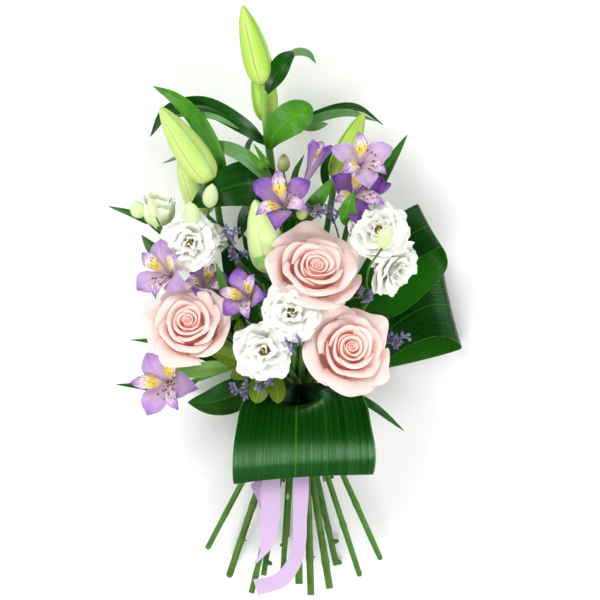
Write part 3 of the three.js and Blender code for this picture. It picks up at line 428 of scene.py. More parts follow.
def blend_colour(tree, factor, first, second, part=None):
    """Turns the first colour into the second by a factor, of which part may take only a share.

    A colour is another node's output or a colour picker's three numbers."""
    if part is not None:
        factor = times(tree, factor, part)
    first, second = (paint(*c) if isinstance(c, tuple) else c for c in (first, second))
    return put(tree, "Mix", {0: factor, 6: first, 7: second}, data_type="RGBA").outputs[2]


def ramp(tree, value, stops):
    """A run of colours along a value from 0 to 1."""
    made = put(tree, "ValToRGB", {0: value})
    band = made.color_ramp
    while len(band.elements) < len(stops):
        band.elements.new(0.5)
    for element, (place, colour) in zip(band.elements, stops):
        element.position = place
        element.color = paint(*colour)
    return made.outputs[0]


def value_of(tree, name):
    return put(tree, "Attribute", attribute_name=name).outputs["Fac"]


def group(name, inputs, outputs, fill):
    """A node group with named number inputs and outputs. fill(tree, inputs) returns the outputs."""
    tree = bpy.data.node_groups.new(name, "ShaderNodeTree")
    for key, value in inputs.items():
        socket = tree.interface.new_socket(key, in_out="INPUT", socket_type="NodeSocketFloat")
        socket.default_value = value
    for key in outputs:
        tree.interface.new_socket(key, in_out="OUTPUT", socket_type="NodeSocketFloat")
    source, sink = tree.nodes.new("NodeGroupInput"), tree.nodes.new("NodeGroupOutput")
    for key, socket in zip(outputs, fill(tree, source.outputs)):
        tree.links.new(socket, sink.inputs[key])
    return tree


def use(tree, node_tree, **inputs):
    made = tree.nodes.new("ShaderNodeGroup")
    made.node_tree = node_tree
    for key, value in inputs.items():
        made.inputs[key].default_value = value
    return made.outputs


print("mid grey is", round(paint(128, 128, 128)[0], 3), "in linear light")


# %% [markdown]
# ## What the finishes share
# Petals, leaves and stems are all built from cells in long rows, so most of their detail is lines
# that run from root to tip. One group turns the UV map into distances across and along, one draws
# such lines by stretching noise along the UV map, and one makes soft blotches from the place in
# space, as sap and light colour a real leaf unevenly.


# %% Shared node groups
LINE_CONTRAST, BLOTCH_CONTRAST = (2.2, -0.6), (2.4, -0.7)
TONE_SHIFT = 37.0


def uv_parts(tree):
    uv = put(tree, "UVMap", uv_map="UVMap").outputs[0]
    return put(tree, "SeparateXYZ", {0: uv}).outputs[:2]


def fill_places(tree, given):
    across, along = uv_parts(tree)
    return [across, along, maths(tree, "ABSOLUTE", stretched(tree, across, 2.0, -1.0))]


def fill_lines(tree, given):
    """Noise stretched along the UV map's y. tone shifts it, so no two leaves have the same lines."""
    across, along = uv_parts(tree)
    place = put(tree, "CombineXYZ", {
        0: times(tree, across, given["Lines"]), 1: times(tree, along, given["Breaks"]),
        2: times(tree, value_of(tree, "tone"), TONE_SHIFT)}).outputs[0]
    noise = put(tree, "TexNoise", {"Vector": place, "Scale": 1.0, "Detail": 3.0}).outputs["Fac"]
    return [stretched(tree, noise, *LINE_CONTRAST, clamp=True)]


def fill_blotches(tree, given):
    place = put(tree, "TexCoord").outputs["Object"]
    noise = put(tree, "TexNoise", {"Vector": place, "Scale": given["Scale"], "Detail": 4.0})
    return [stretched(tree, noise.outputs["Fac"], *BLOTCH_CONTRAST, clamp=True)]


PLACES = group("places on a blade", {}, ["Across", "Along", "Edge"], fill_places)
LINES_GROUP = group("lines from root to tip", {"Lines": 40, "Breaks": 1.5}, ["Line"], fill_lines)
BLOTCHES = group("blotches", {"Scale": 60}, ["Blotch"], fill_blotches)


def line_value(tree, lines, breaks):
    return use(tree, LINES_GROUP, Lines=lines, Breaks=breaks)["Line"]


def blotch_value(tree, scale):
    return use(tree, BLOTCHES, Scale=scale)["Blotch"]


def raised_lines(lines, breaks):
    """A relief of the same lines that a finish's colour has."""
    return lambda tree: line_value(tree, lines, breaks)


def midline(tree, half_width):
    """1 on a blade's midline, falling to 0 where half_width of the way to its edge is reached."""
    near = maths(tree, "DIVIDE", use(tree, PLACES)["Edge"], half_width)
    return maths(tree, "SUBTRACT", 1.0, near, clamp=True)


def wave_value(tree, angle):
    """A cosine wave that runs between 0 and 1 instead of -1 and 1."""
    return stretched(tree, maths(tree, "COSINE", angle), 0.5, 0.5)


print("node groups", [tree.name for tree in (PLACES, LINES_GROUP, BLOTCHES)])

# %% [markdown]
# ## One recipe for every finish
# Blender's Principled shader covers petals, leaves and cloth alike, so every finish is one material
# built round it. What varies over a surface, such as its colour or its relief, is drawn by a small
# function that adds nodes, and what is the same all over is a plain number on the shader's socket.

# %% One recipe for every finish
RELIEF_DEPTH, GLOW_FADE = 0.3 * MM, 0.7


def surface(name, colour_of, roughness=0.5, height_of=None, bump=0.2, glow=0.0, coat_of=None, **sockets):
    """A finish: colour_of(tree) gives its colour, height_of(tree) its relief, coat_of(tree) its wax.

    glow stands for the light that comes through the petals around: it is strongest where depth is 0."""
    material = bpy.data.materials.new(name)
    material.use_nodes = True
    tree = material.node_tree
    shader = tree.nodes["Principled BSDF"]
    colour = colour_of(tree)
    linked = {"Base Color": colour}
    if glow:
        linked["Emission Color"] = blend_colour(tree, value_of(tree, "depth"), colour, (0, 0, 0), GLOW_FADE)
        sockets["Emission Strength"] = glow
    if callable(roughness):
        linked["Roughness"] = roughness(tree)
    else:
        sockets["Roughness"] = roughness
    if height_of:
        relief = {"Height": height_of(tree), "Strength": bump, "Distance": RELIEF_DEPTH}
        linked["Normal"] = put(tree, "Bump", relief).outputs[0]
    if coat_of:
        linked["Coat Weight"] = coat_of(tree)
    for key, output in linked.items():
        tree.links.new(output, shader.inputs[key])
    for key, value in sockets.items():
        shader.inputs[key.replace("_", " ")].default_value = value
    FINISHES[name] = material


# %% [markdown]
# ## Green finishes
# A stem is ribbed lengthwise and mottled, with a paler pith where it is cut. A leaf is glossy and
# dark above, with paler veins, and matt and greyer below, so its colour is chosen by the side value.
# The same recipe makes all of them, with other colours, other numbers of veins and another gloss.

# %% Green finishes
GREEN_BLOTCHES, ROUGHNESS_BELOW = 55, 0.62


def green(name, dark, light, under, vein, lines, breaks, rough, midrib=0.0, **sockets):
    """A leaf or stem: two mottled greens above, one below, and veins from root to tip."""

    def colour(tree):
        line = line_value(tree, lines, breaks)
        upper = blend_colour(tree, blotch_value(tree, GREEN_BLOTCHES), dark, light)
        upper = blend_colour(tree, value_of(tree, "tone"), upper, light, 0.5)
        upper = blend_colour(tree, line, upper, vein, 0.35)
        if midrib:
            upper = blend_colour(tree, midline(tree, midrib), upper, vein, 0.75)
        lower = blend_colour(tree, line, under, vein, 0.4)
        return blend_colour(tree, value_of(tree, "side"), lower, upper)

    def shine(tree):
        return stretched(tree, value_of(tree, "side"), rough - ROUGHNESS_BELOW, ROUGHNESS_BELOW)

    surface(name, colour, shine, raised_lines(lines, breaks), **sockets)


# Two greens above, one below, the veins' colour, the lines across and their breaks along, the
# roughness above, and the midrib's half width as a part of the leaf's.
GREENS = {
    "stem": ((30, 74, 14), (66, 118, 34), (70, 120, 44), (104, 150, 60), 16, 9, 0.42),
    "rose_stem": ((34, 72, 18), (74, 116, 38), (70, 120, 44), (108, 132, 62), 12, 14, 0.45),
    "young_stem": ((84, 136, 40), (140, 184, 76), (130, 170, 80), (160, 196, 100), 12, 6, 0.45),
    "sepal": ((46, 92, 24), (106, 148, 52), (120, 160, 84), (140, 170, 90), 14, 2, 0.5),
    "lily_leaf": ((1, 30, 1), (12, 70, 4), (70, 122, 62), (34, 98, 18), 14, 0.8, 0.26, 0.09),
    "leaf": ((4, 42, 2), (28, 90, 8), (84, 134, 62), (66, 128, 34), 12, 1.2, 0.34, 0.09),
    "bright_leaf": ((24, 88, 4), (62, 132, 14), (96, 146, 70), (96, 160, 44), 10, 0.9, 0.36, 0.06),
    "pale_leaf": ((84, 146, 54), (134, 186, 86), (120, 160, 104), (150, 194, 104), 12, 1.2, 0.45, 0.09),
    "grey_leaf": ((56, 104, 54), (96, 140, 84), (110, 150, 100), (110, 154, 90), 12, 1.2, 0.45, 0.07),
    "olive_leaf": ((50, 88, 4), (96, 132, 14), (140, 150, 70), (150, 160, 60), 9, 1.5, 0.38, 0.1),
    "twig": ((60, 84, 42), (104, 122, 62), (110, 130, 80), (150, 150, 110), 6, 10, 0.6),
    "white_bud": ((176, 202, 122), (222, 230, 190), (210, 220, 170), (160, 194, 96), 14, 1, 0.5),
    "matt_leaf": ((6, 50, 4), (20, 80, 8), (60, 110, 40), (44, 108, 26), 60, 0.4, 0.62, 0.03),
}
PLAIN_BUMP, DEEP_BUMP = 0.2, {"stem": 0.35, "rose_stem": 0.35}
PLAIN_MIRROR, OTHER_MIRROR = 0.25, {"white_bud": 0.5, "matt_leaf": 0.04}
for name, row in GREENS.items():
    green(name, *row, bump=DEEP_BUMP.get(name, PLAIN_BUMP),
          Specular_IOR_Level=OTHER_MIRROR.get(name, PLAIN_MIRROR))
print("green finishes", len(FINISHES))

# %% [markdown]
# ## The aspidistra leaves' finish
# An aspidistra leaf is nearly black-green, with many thin parallel veins, a paler midline and a pale
# rim, and it has so much wax that it mirrors a lamp. Relief alone leaves that highlight smooth and
# grey. So the wax is a clear coat, thicker on some ribs than on others, which breaks the highlight
# into lengthwise streaks, and the mirrored light is tinted green. The flat leaf at the back is seen
# only at a shallow angle, where a shiny leaf would mirror the pale floor. It has the matt_leaf above.


# %% Aspidistra finish
FINE_RIBS, BROAD_RIBS, WAX_RIBS = 90.0, 16.0, 84.0
VEINS_ACROSS, VEIN_SHARPNESS = 20, 30.0


def aspidistra_colour(tree):
    """Deep green, thin pale veins, a bright midline, painted shade at the root, a fresher green underneath.
    """
    places = use(tree, PLACES)
    fine, broad = (line_value(tree, ribs, 0.3) for ribs in (FINE_RIBS, BROAD_RIBS))
    upper = blend_colour(tree, blotch_value(tree, 22.0), (0, 16, 0), (2, 44, 0))
    upper = blend_colour(tree, broad, upper, (6, 62, 1), 0.5)
    upper = blend_colour(tree, fine, upper, (14, 80, 6), 0.12)
    wander = times(tree, broad, 4.0)
    vein = wave_value(tree, stretched(tree, places["Across"], 2 * math.pi * VEINS_ACROSS, wander))
    vein = maths(tree, "POWER", vein, VEIN_SHARPNESS)
    vein = times(tree, vein, stretched(tree, fine, 0.3, 0.02))
    upper = blend_colour(tree, vein, upper, (48, 122, 30))
    # On the collar alone, whose tone is 1, the upper side turns a lighter green past its root.
    lighter_past_root = stretched(tree, places["Along"], 5.0, -1.4, clamp=True)
    lighter_past_root = times(tree, lighter_past_root, value_of(tree, "tone"))
    upper = blend_colour(tree, lighter_past_root, upper, (14, 84, 2), 0.3)
    # Painted shade: near its root, where the leaf bends over at the tie, the upper side is painted almost
    # black.
    painted_root_shade = stretched(tree, places["Along"], -9.0, 2.6, clamp=True)
    upper = blend_colour(tree, painted_root_shade, upper, (0, 6, 0), 0.85)
    upper = blend_colour(tree, midline(tree, 0.018), upper, (64, 132, 24), 0.55)
    lower = blend_colour(tree, fine, (10, 66, 2), (36, 106, 6))
    colour = blend_colour(tree, value_of(tree, "side"), lower, upper)
    rim = stretched(tree, places["Edge"], 60.0, -59.0, clamp=True)
    return blend_colour(tree, rim, colour, (96, 140, 66), 0.7)


def aspidistra_shine(tree):
    """The fine ribs between the veins are polished unevenly, so a highlight breaks into streaks."""
    return stretched(tree, line_value(tree, FINE_RIBS, 0.2), 0.2, 0.16)


def aspidistra_wax(tree):
    """The wax is thicker on some ribs than on others, which streaks the highlight lengthwise."""
    return times(tree, maths(tree, "POWER", line_value(tree, WAX_RIBS, 0.4), 2.0), 0.45)


surface("aspidistra", aspidistra_colour, aspidistra_shine, raised_lines(FINE_RIBS, 0.3), bump=0.4,
        coat_of=aspidistra_wax, Specular_IOR_Level=0.22, Specular_Tint=(0.36, 1.0, 0.4, 1.0),
        Coat_Roughness=0.2)
print("aspidistra veins", VEINS_ACROSS)

# %% [markdown]
# ## Petal finishes
# A petal's colour runs from its root to its tip, and in a rose also from the heart outwards, so a
# colour ramp reads both values at once. Thin petals let light through, which subsurface scattering
# gives them, and a little sheen makes them velvety. Deep in a rose that light comes from all sides.
# Following it from petal to petal would take very many samples, so a faint glow stands for it.

# %% Petal finishes
PETAL_BLOTCHES, PETAL_WANDER, PETAL_BREAKS = 70, 0.12, 1.2


def petal(name, stops, heart=0.0, veins=26, strength=0.12, **sockets):
    """A petal: colours from root to tip, drawn towards the first ones by heart in the inner rings."""

    def colour(tree):
        ring = times(tree, value_of(tree, "depth"), heart)
        place = stretched(tree, use(tree, PLACES)["Along"], 1 - heart, ring)
        wander = stretched(tree, blotch_value(tree, PETAL_BLOTCHES), PETAL_WANDER, -PETAL_WANDER / 2)
        base = ramp(tree, maths(tree, "ADD", place, wander, clamp=True), stops)
        return blend_colour(tree, line_value(tree, veins, PETAL_BREAKS), base, stops[0][1], strength)

    settings = dict(Subsurface_Scale=0.004, Sheen_Weight=0.08)
    surface(name, colour, 0.55, raised_lines(veins, PETAL_BREAKS), bump=0.25, **{**settings, **sockets})


petal("rose_petal",
      [(0.0, (246, 164, 148)), (0.35, (245, 184, 171)), (0.6, (243, 200, 190)), (0.78, (243, 209, 201)),
       (1.0, (244, 216, 209))], heart=0.2, strength=0.16, glow=0.12,
      Subsurface_Weight=0.38, Subsurface_Radius=(1.0, 0.6, 0.5), Subsurface_Scale=0.005)
petal("lisianthus_petal",
      [(0.0, (186, 196, 106)), (0.2, (232, 238, 200)), (0.4, (240, 241, 230)), (1.0, (244, 244, 239))],
      heart=0.1, strength=0.08, Subsurface_Weight=0.3, Subsurface_Radius=(1.0, 1.0, 0.9))
petal("green_petal",
      [(0.0, (146, 190, 70)), (0.4, (220, 234, 170)), (0.75, (243, 247, 222)), (1.0, (248, 249, 236))],
      heart=0.1, Subsurface_Weight=0.3, Subsurface_Radius=(1.0, 1.0, 0.8))
petal("young_bud",
      [(0.0, (110, 156, 60)), (0.4, (176, 190, 116)), (0.72, (196, 190, 138)), (0.88, (120, 92, 60)),
       (1.0, (84, 50, 44))], veins=14, strength=0.35, Subsurface_Weight=0.1, Subsurface_Scale=0.005)
print("petal finishes", [name for name in FINISHES if "petal" in name])

# %% [markdown]
# ## Alstroemeria's finishes
# The outer tepals are lilac with a darker, streaked rim. The inner ones have dark dashes, and all
# but the lowest a yellow patch, so depth, which is 0 or 1 here, says which ones get it. A bloom
# deepens or fades as it ages, so tone makes one deeper and another paler. The dashes are the same
# lines as elsewhere, only broken more often and cut off sharply.


# %% Alstroemeria finishes
def tinted_by_tone(tree, colour, dark, pale):
    """Deepens a colour where tone is above a half and pales it where tone is below."""
    tone = value_of(tree, "tone")
    deeper = stretched(tree, tone, 2.0, -1.0, clamp=True)
    paler = stretched(tree, tone, -2.0, 1.0, clamp=True)
    return blend_colour(tree, paler, blend_colour(tree, deeper, colour, dark), pale, 0.8)


def outer_tepal(tree):
    places = use(tree, PLACES)
    middle = ramp(tree, places["Along"], [
        (0.0, (190, 200, 140)), (0.3, (234, 214, 226)), (0.6, (206, 174, 214)),
        (0.84, (150, 98, 188)), (1.0, (84, 28, 126))])
    rim = maths(tree, "POWER", places["Edge"], 2.4)
    colour = blend_colour(tree, rim, middle, (112, 46, 158), 0.85)
    streaks = times(tree, line_value(tree, 20.0, 1.0), stretched(tree, places["Along"], 0.7, 0.14))
    colour = blend_colour(tree, streaks, colour, (112, 48, 166))
    return tinted_by_tone(tree, colour, (96, 28, 138), (228, 208, 222))


def inner_tepal(tree):
    places = use(tree, PLACES)
    patched = ramp(tree, places["Along"], [
        (0.0, (200, 206, 150)), (0.3, (242, 224, 220)), (0.42, (248, 214, 70)),
        (0.6, (250, 222, 84)), (0.7, (236, 214, 230)), (1.0, (118, 52, 160))])
    plain = ramp(tree, places["Along"], [
        (0.0, (200, 206, 150)), (0.35, (240, 226, 232)), (0.75, (222, 192, 228)),
        (1.0, (118, 52, 160))])
    ground = blend_colour(tree, value_of(tree, "depth"), patched, plain)
    rim = maths(tree, "POWER", places["Edge"], 4.0)
    colour = blend_colour(tree, rim, ground, (140, 80, 184), 0.55)
    dashes = maths(tree, "GREATER_THAN", line_value(tree, 15.0, 8.0), 0.66)
    zone = maths(tree, "COMPARE", places["Along"], 0.68, 0.24)
    return blend_colour(tree, times(tree, dashes, zone), colour, (84, 20, 60), 0.85)


TEPAL_LIGHT = dict(Subsurface_Weight=0.4, Subsurface_Scale=0.004, Subsurface_Radius=(1.0, 0.8, 1.0))
for colour_of in (outer_tepal, inner_tepal):
    surface(colour_of.__name__, colour_of, 0.5, raised_lines(22.0, 1.0), Sheen_Weight=0.06, **TEPAL_LIGHT)
print("finishes so far", len(FINISHES))

# %% [markdown]
# ## Finishes of small parts
# Stamens, pollen, scars and the pith where a stem is cut are too small for more than two mottled
# colours. A lily bud shows its three tepals by bands round it: each is darkest on its middle rib and
# palest at its edges, which meet in a fine dark seam. A cosine of the UV map's x gives such bands.


# %% Small parts
# Two colours, a roughness and the size of the mottling for each.
MOTTLED = {
    "pith": ((150, 172, 96), (206, 214, 160), 0.7, 900),
    "anther": ((92, 66, 30), (150, 116, 54), 0.8, 500),
    "filament": ((196, 150, 196), (226, 190, 206), 0.5, 500),
    "pollen": ((190, 140, 40), (228, 190, 84), 0.85, 500),
    "scar": ((78, 58, 38), (122, 98, 64), 0.8, 500),
    "stigma": ((176, 180, 84), (214, 208, 120), 0.6, 500),
}


def mottled(first, second, scale):
    return lambda tree: blend_colour(tree, blotch_value(tree, scale), first, second)


for name, (first, second, roughness, scale) in MOTTLED.items():
    surface(name, mottled(first, second, scale), roughness)
print("small parts", len(MOTTLED))


# %% Lily bud finish
BUD_LINES = (48.0, 1.0)


def bud_colour(tree):
    """Yellow-green tepals with a darker rib in the middle and pale edges that meet in a fine seam."""
    places = use(tree, PLACES)
    tepal_colour = ramp(tree, wave_value(tree, times(tree, places["Across"], 3 * 2 * math.pi)), [
        (0.0, (120, 154, 48)), (0.012, (206, 222, 130)), (0.14, (192, 218, 92)), (0.6, (170, 208, 62)),
        (0.93, (148, 192, 44)), (0.985, (126, 176, 36)), (1.0, (72, 128, 18))])
    ends = ramp(tree, places["Along"], [
        (0.0, (196, 212, 130)), (0.25, (170, 202, 70)), (0.8, (138, 186, 36)), (1.0, (88, 134, 30))])
    colour = blend_colour(tree, 0.25, tepal_colour, ends)
    colour = blend_colour(tree, line_value(tree, *BUD_LINES), colour, (136, 184, 50), 0.22)
    return blend_colour(tree, value_of(tree, "tone"), colour, (232, 240, 196))


surface("lily_bud", bud_colour, 0.42, raised_lines(*BUD_LINES),
        Subsurface_Weight=0.2, Subsurface_Scale=0.003)
print("finishes so far", len(FINISHES))


# %% Sea lavender and ribbon finishes
WEAVE = (160.0, 600.0)


def floret_colour(tree):
    """Beige calyx where depth is low and blue-violet petals where it is high."""
    petals = blend_colour(tree, value_of(tree, "tone"), (56, 50, 118), (146, 138, 192))
    return blend_colour(tree, value_of(tree, "depth"), (166, 156, 122), petals)


def ribbon_colour(tree):
    """Lilac satin with a fine weave, darker where tone is low: painted shade on the fold's duller back."""
    cloth = blend_colour(tree, line_value(tree, *WEAVE), (196, 170, 204), (182, 154, 194), 0.3)
    return blend_colour(tree, value_of(tree, "tone"), (162, 132, 178), cloth)


surface("floret", floret_colour, 0.8)
surface("ribbon", ribbon_colour, 0.45, raised_lines(*WEAVE), bump=0.15, Sheen_Weight=0.3)
print("finishes", len(FINISHES))

# %% [markdown]
# ## The stems' routes
# A florist's spiral: each stem starts at its cut end, passes its own place in the tie and fans out
# to its bloom. Where two would touch, both are moved apart a little, level by level, as they push
# each other aside in the hand. The table gives the radius, the cut end, the place in the tie, in
# half spacings across and rows upwards, and where the stem arrives.

# %% The stems' routes
TIE_LENGTH, SLOT_X, SLOT_Z = 24, 4, 7
LEVEL, LEVEL_FIRST, STEM_CLEARANCE = 12, -300, 1.4
PUSHING_ROUNDS, SMOOTHING, LEVELS_KEPT = 80, 0.2, 36
STEMS = {
    "rose_centre": (3.7, (43, -290, 52), (1, 1), (20, 14, 70)),
    "rose_left": (3.6, (-58, -276, 48), (-3, 1), (-90, -46, 64)),
    "rose_right": (3.7, (24, -296, 62), (2, 2), (44, -60, 70)),
    "lily_tall": (3.8, (12, -286, 40), (0, 0), (-15, 131, 78)),
    "lily_left": (3.5, (-1, -240, 5), (-1, -1), (-66, 74, 62)),
    "lily_right": (3.3, (50, -269, 4), (1, -1), (44, 96, 72)),
    "alstroemeria_top": (3, (-5, -287, 56), (-1, 1), (10, 68, 84)),
    "alstroemeria_right": (3, (73, -276, 42), (2, 0), (62, 78, 78)),
    "alstroemeria_left": (3, (-24, -278, 28), (-2, 0), (-62, -30, 62)),
    "alstroemeria_low": (3, (-80, -249, 34), (-4, 0), (-36, -62, 48)),
    "lisianthus_left": (2.9, (-54, -262, 3.4), (-3, -1), (-78, 22, 62)),
    "lisianthus_right": (3, (94, -260, 30), (4, 0), (84, 6, 76)),
    "lisianthus_centre": (3, (-36, -294, 60), (0, 2), (-4, -60, 82)),
    "limonium_right": (1.5, (38, -182, 50), (3, 1), (50, 0, 80)),
    "limonium_left": (1.5, (-4, -184, 14), (0, -2), (-24, 16, 58)),
    "limonium_front": (1.5, (4, -176, 64), (-1, 3), (-18, -66, 82)),
    "foliage_left": (2.2, (-34, -190, 12), (-2, -2), (-36, -60, 26)),
    "foliage_olive": (1.6, (-16, -180, 60), (-2, 2), (-28, -66, 70)),
    "aspidistra_collar": (2, (16, -150, 62), (1, 3), (12, -80, 62)),
    "aspidistra_upper": (2, (46, -180, 24), (3, -1), (52, -30, 44)),
    "aspidistra_lower": (2, (24, -176, 12), (2, -2), (52, -64, 14)),
    "aspidistra_back": (2, (12, -186, 6), (0, -3), (8, -60, 8)),
}
ROUNDED_FEET = {"alstroemeria_low", "rose_left", "alstroemeria_right", "lisianthus_right"}


def tied(y):
    return abs(y - TIE[1]) <= TIE_LENGTH / 2


def lay_stems():
    """The points of every stem, moved apart where two are too near.

    A place is its Y, its X and Z before the pushing, and how far it is pushed in X and Z."""
    lines = {}
    for name, (radius, foot, slot, top) in STEMS.items():
        tie_x, tie_z = TIE[0] + slot[0] * SLOT_X, TIE[2] + slot[1] * SLOT_Z
        below, above = TIE[1] - TIE_LENGTH / 2, TIE[1] + TIE_LENGTH / 2
        places = []
        for y in range(LEVEL_FIRST, math.floor(top[1]) + 1, LEVEL):
            if y < foot[1]:
                continue
            if y < below:
                t, start, end = (y - foot[1]) / (below - foot[1]), foot, (tie_x, below, tie_z)
            else:
                t, start, end = (y - above) / (top[1] - above), (tie_x, above, tie_z), top
                t = min(max(t, 0), 1)
            places.append([y, mix(start[0], end[0], t), mix(start[2], end[2], t), 0.0, 0.0])
        lines[name] = (radius, places)
    names = list(lines)
    for _ in range(PUSHING_ROUNDS):
        for a, first in enumerate(names):
            for second in names[a + 1:]:
                wanted = lines[first][0] + lines[second][0] + STEM_CLEARANCE
                there = {q[0]: q for q in lines[second][1]}
                for p in lines[first][1]:
                    q = there.get(p[0])
                    if q is None or tied(p[0]):
                        continue
                    x, z = p[1] + p[3] - q[1] - q[3], p[2] + p[4] - q[2] - q[4]
                    apart = math.hypot(x, z)
                    short = wanted - apart
                    if short <= 0:
                        continue
                    p[3] += 0.5 * short * x / apart
                    p[4] += 0.5 * short * z / apart
                    q[3] -= 0.5 * short * x / apart
                    q[4] -= 0.5 * short * z / apart
        for _, places in lines.values():
            for k in range(1, len(places) - 1):
                before, here, after = places[k - 1], places[k], places[k + 1]
                for axis in (3, 4):
                    pull = SMOOTHING * (before[axis] + after[axis] - 2 * here[axis])
                    here[axis] = 0 if tied(here[0]) else here[axis] + pull
    laid = {}
    for name, (_, places) in lines.items():
        _, foot, _, top = STEMS[name]
        kept = []
        for y, x, z, dx, dz in places:
            half = TIE_LENGTH / 2
            step = y - TIE[1] + half if y <= TIE[1] else y - TIE[1] - half
            if step % LEVELS_KEPT == 0 and foot[1] + LEVEL < y < top[1] - LEVEL:
                kept.append((x + dx, y, z + dz))
        laid[name] = [foot, *kept, top]
    return laid


LINES = lay_stems()


def on_stem(name, y):
    """The point of a stem at a given Y."""
    places = spline(LINES[name])(np.linspace(0, 1, 2001))
    return places[np.argmin(np.abs(places[:, 1] - y))]


print("stems", len(LINES), "longest has", max(len(line) for line in LINES.values()), "points")

# %% [markdown]
# ## Stems, stalks and small green parts
# A real stem is never a clean pipe: it swells where a leaf was stripped off, wavers a little and
# ends in a cut. The main stems are tubes with such swellings, and the stalks of the blooms are thin
# tubes that start inside the stem. A thorn, a sepal and the cup under a bloom are small shells of
# their own in the same piece.

# %% Stems, stalks and small green parts
KNUCKLES = {
    "rose_centre": [-214, -262], "rose_left": [-242, -205], "rose_right": [-259, -214],
    "lily_tall": [-197, -246], "alstroemeria_low": [-214], "alstroemeria_top": [-240],
    "lisianthus_left": [-222], "lisianthus_right": [-206, -238], "alstroemeria_right": [-226],
    "lisianthus_centre": [-236, -276], "lily_right": [-232], "alstroemeria_left": [-250],
}
KNUCKLE_SWELL, KNUCKLE_LENGTH = 0.16, 2.6
random_state = random.Random(5)


def main_stem(name, onward=()):
    """The tube of a main stem, on through the points that follow its laid line.

    It wavers a little in thickness and swells at its knuckles."""
    radius = STEMS[name][0]
    points = [*LINES[name], *onward]
    count = 7 * (len(points) - 1) + 1
    line = spline(points)(np.linspace(0, 1, count))
    phase = random_state.uniform(0, 6)
    thickness = radius * (0.97 + 0.03 * np.sin(line[:, 1] / 17 + phase))
    for y in KNUCKLES.get(name, []):
        near = np.exp(-(((line[:, 1] - y) / KNUCKLE_LENGTH) ** 2))
        thickness = thickness * (1 + KNUCKLE_SWELL * near)
    return tube(line, thickness, 14 if radius > 2.5 else 10, (name in ROUNDED_FEET, True))


def stalk(points, radius=1.4):
    return tube(spline(points)(np.linspace(0, 1, 6 * (len(points) - 1) + 1)), radius * 0.95, 8)


def below(origin, facing, distance):
    """A point below a bloom's root, on its axis."""
    return tuple(np.array(origin) - distance * unit(facing))


LEAF_THICKNESS = 0.9


def leaf(spine, width, face=((0, 0, 1),), fold=0.25, widest=0.45, blunt=0.8, wave=0.0, rows=26,
         columns=10):
    """A leaf along a curve. face is where its upper side looks, at its root and at its tip.

    fold lifts its edges, widest is where it is widest, blunt below 1 makes it fuller towards its
    ends, and wave ripples its edges."""
    curve = spline(spine)
    power = math.log(0.5) / math.log(widest)
    phase = random_state.uniform(0, 6)

    def at(u, v):
        centre, along = curve(v), heading(curve, v)
        looks = mix(np.array(face[0], float), np.array(face[-1], float), v[..., None])
        side = unit(np.cross(along, looks))
        up = unit(np.cross(side, along))
        lobe = np.sin(math.pi * v**power) ** blunt
        half = width / 2 * np.maximum(np.maximum(lobe, 0.1 * (1 - v)), 0.012)
        valley = (np.sqrt(u**2 + 0.02) - 0.14) * half * fold * 1.1
        ripple = wave * u**2 * np.sin(9 * v + phase + 1.5 * np.sign(u))
        groove = -0.3 * np.exp(-((u / 0.09) ** 2)) * (1 - v)
        return centre + side * (u * half)[..., None] + up * (valley + ripple + groove)[..., None]

    return blade(at, columns, rows, LEAF_THICKNESS, edge=0.4)


def small_bud(base, tip, diameter):
    """A closed green bud from its base to its tip."""
    axis = np.array(tip, float) - np.array(base)
    length, r = np.linalg.norm(axis), diameter / 2
    profile = [(0.4, -1), (0.75 * r, 0.12 * length), (r, 0.4 * length), (0.66 * r, 0.78 * length),
               (0.1, length)]
    return turned(profile, 12, 3, 0.05, smooth_to=14).moved(frame_at(base, axis))


def thorn(name, y, direction):
    """A thorn that leans out of a stem."""
    length = STEMS[name][0] + 4
    profile = [(1.9, 1), (1.2, 0.55 * length), (0.1, length)]
    return turned(profile, 8, smooth_to=6).moved(frame_at(on_stem(name, y), direction))


print("stems with knuckles", len(KNUCKLES))

# %% [markdown]
# ## Stubs and scars
# Florists strip the lower leaves and side shoots by hand, which leaves torn stubs and flat brown or
# pale scars. Such marks could be painted, but a stub stands out against the light, so each is a
# small shell of its own. A table says on which stem and at which height each one sits.

# %% Stubs and scars
# The height on the stem, the direction, the length and the radius of each stub.
STUBS = {
    "lily_right": [(-246, (1, 0.3, 0.2), 5, 3.0), (-264, (0.9, -0.5, 0.2), 4.5, 3.0)],
    "alstroemeria_left": [(-264, (1, -0.4, 0.3), 4.5, 2.8)],
    "alstroemeria_top": [(-244, (-0.8, -0.5, 0.3), 3, 2.0)],
}
SCARS = {"alstroemeria_top": [(-197, "pith"), (-238, "scar")], "lily_right": [(-221, "scar")]}


def torn_stub(name, y, direction, length, radius):
    """A short stub that tapers a little and ends ragged."""
    start, out = np.array(on_stem(name, y)), unit(direction)
    wide = max(STEMS[name][0] * 0.6, 1)
    points = [start + step * out for step in (0, wide, wide + length, wide + length + 1)]
    return tube(points, [radius * 1.3, radius, radius * 0.75, radius * 0.35], 7, (False, False))


def scar_patch(name, y):
    """A flat oval on the upper side of a stem, where a leaf came off."""
    lifted = np.array([0, 0, STEMS[name][0] - 0.7])
    points = [np.array(on_stem(name, y + step)) + lifted for step in (-3.6, -2, 0, 2, 3.6)]
    return tube(points, [0.3, 1.3, 1.7, 1.3, 0.3], 10)


def marked(piece, name):
    """Adds a stem's stubs and scars to its piece."""
    for y, direction, length, radius in STUBS.get(name, []):
        piece.add(torn_stub(name, y, direction, length, radius), "stem", tone=0.8)
    for y, finish in SCARS.get(name, []):
        piece.add(scar_patch(name, y), finish)


print("stubs", sum(map(len, STUBS.values())), "scars", sum(map(len, SCARS.values())))

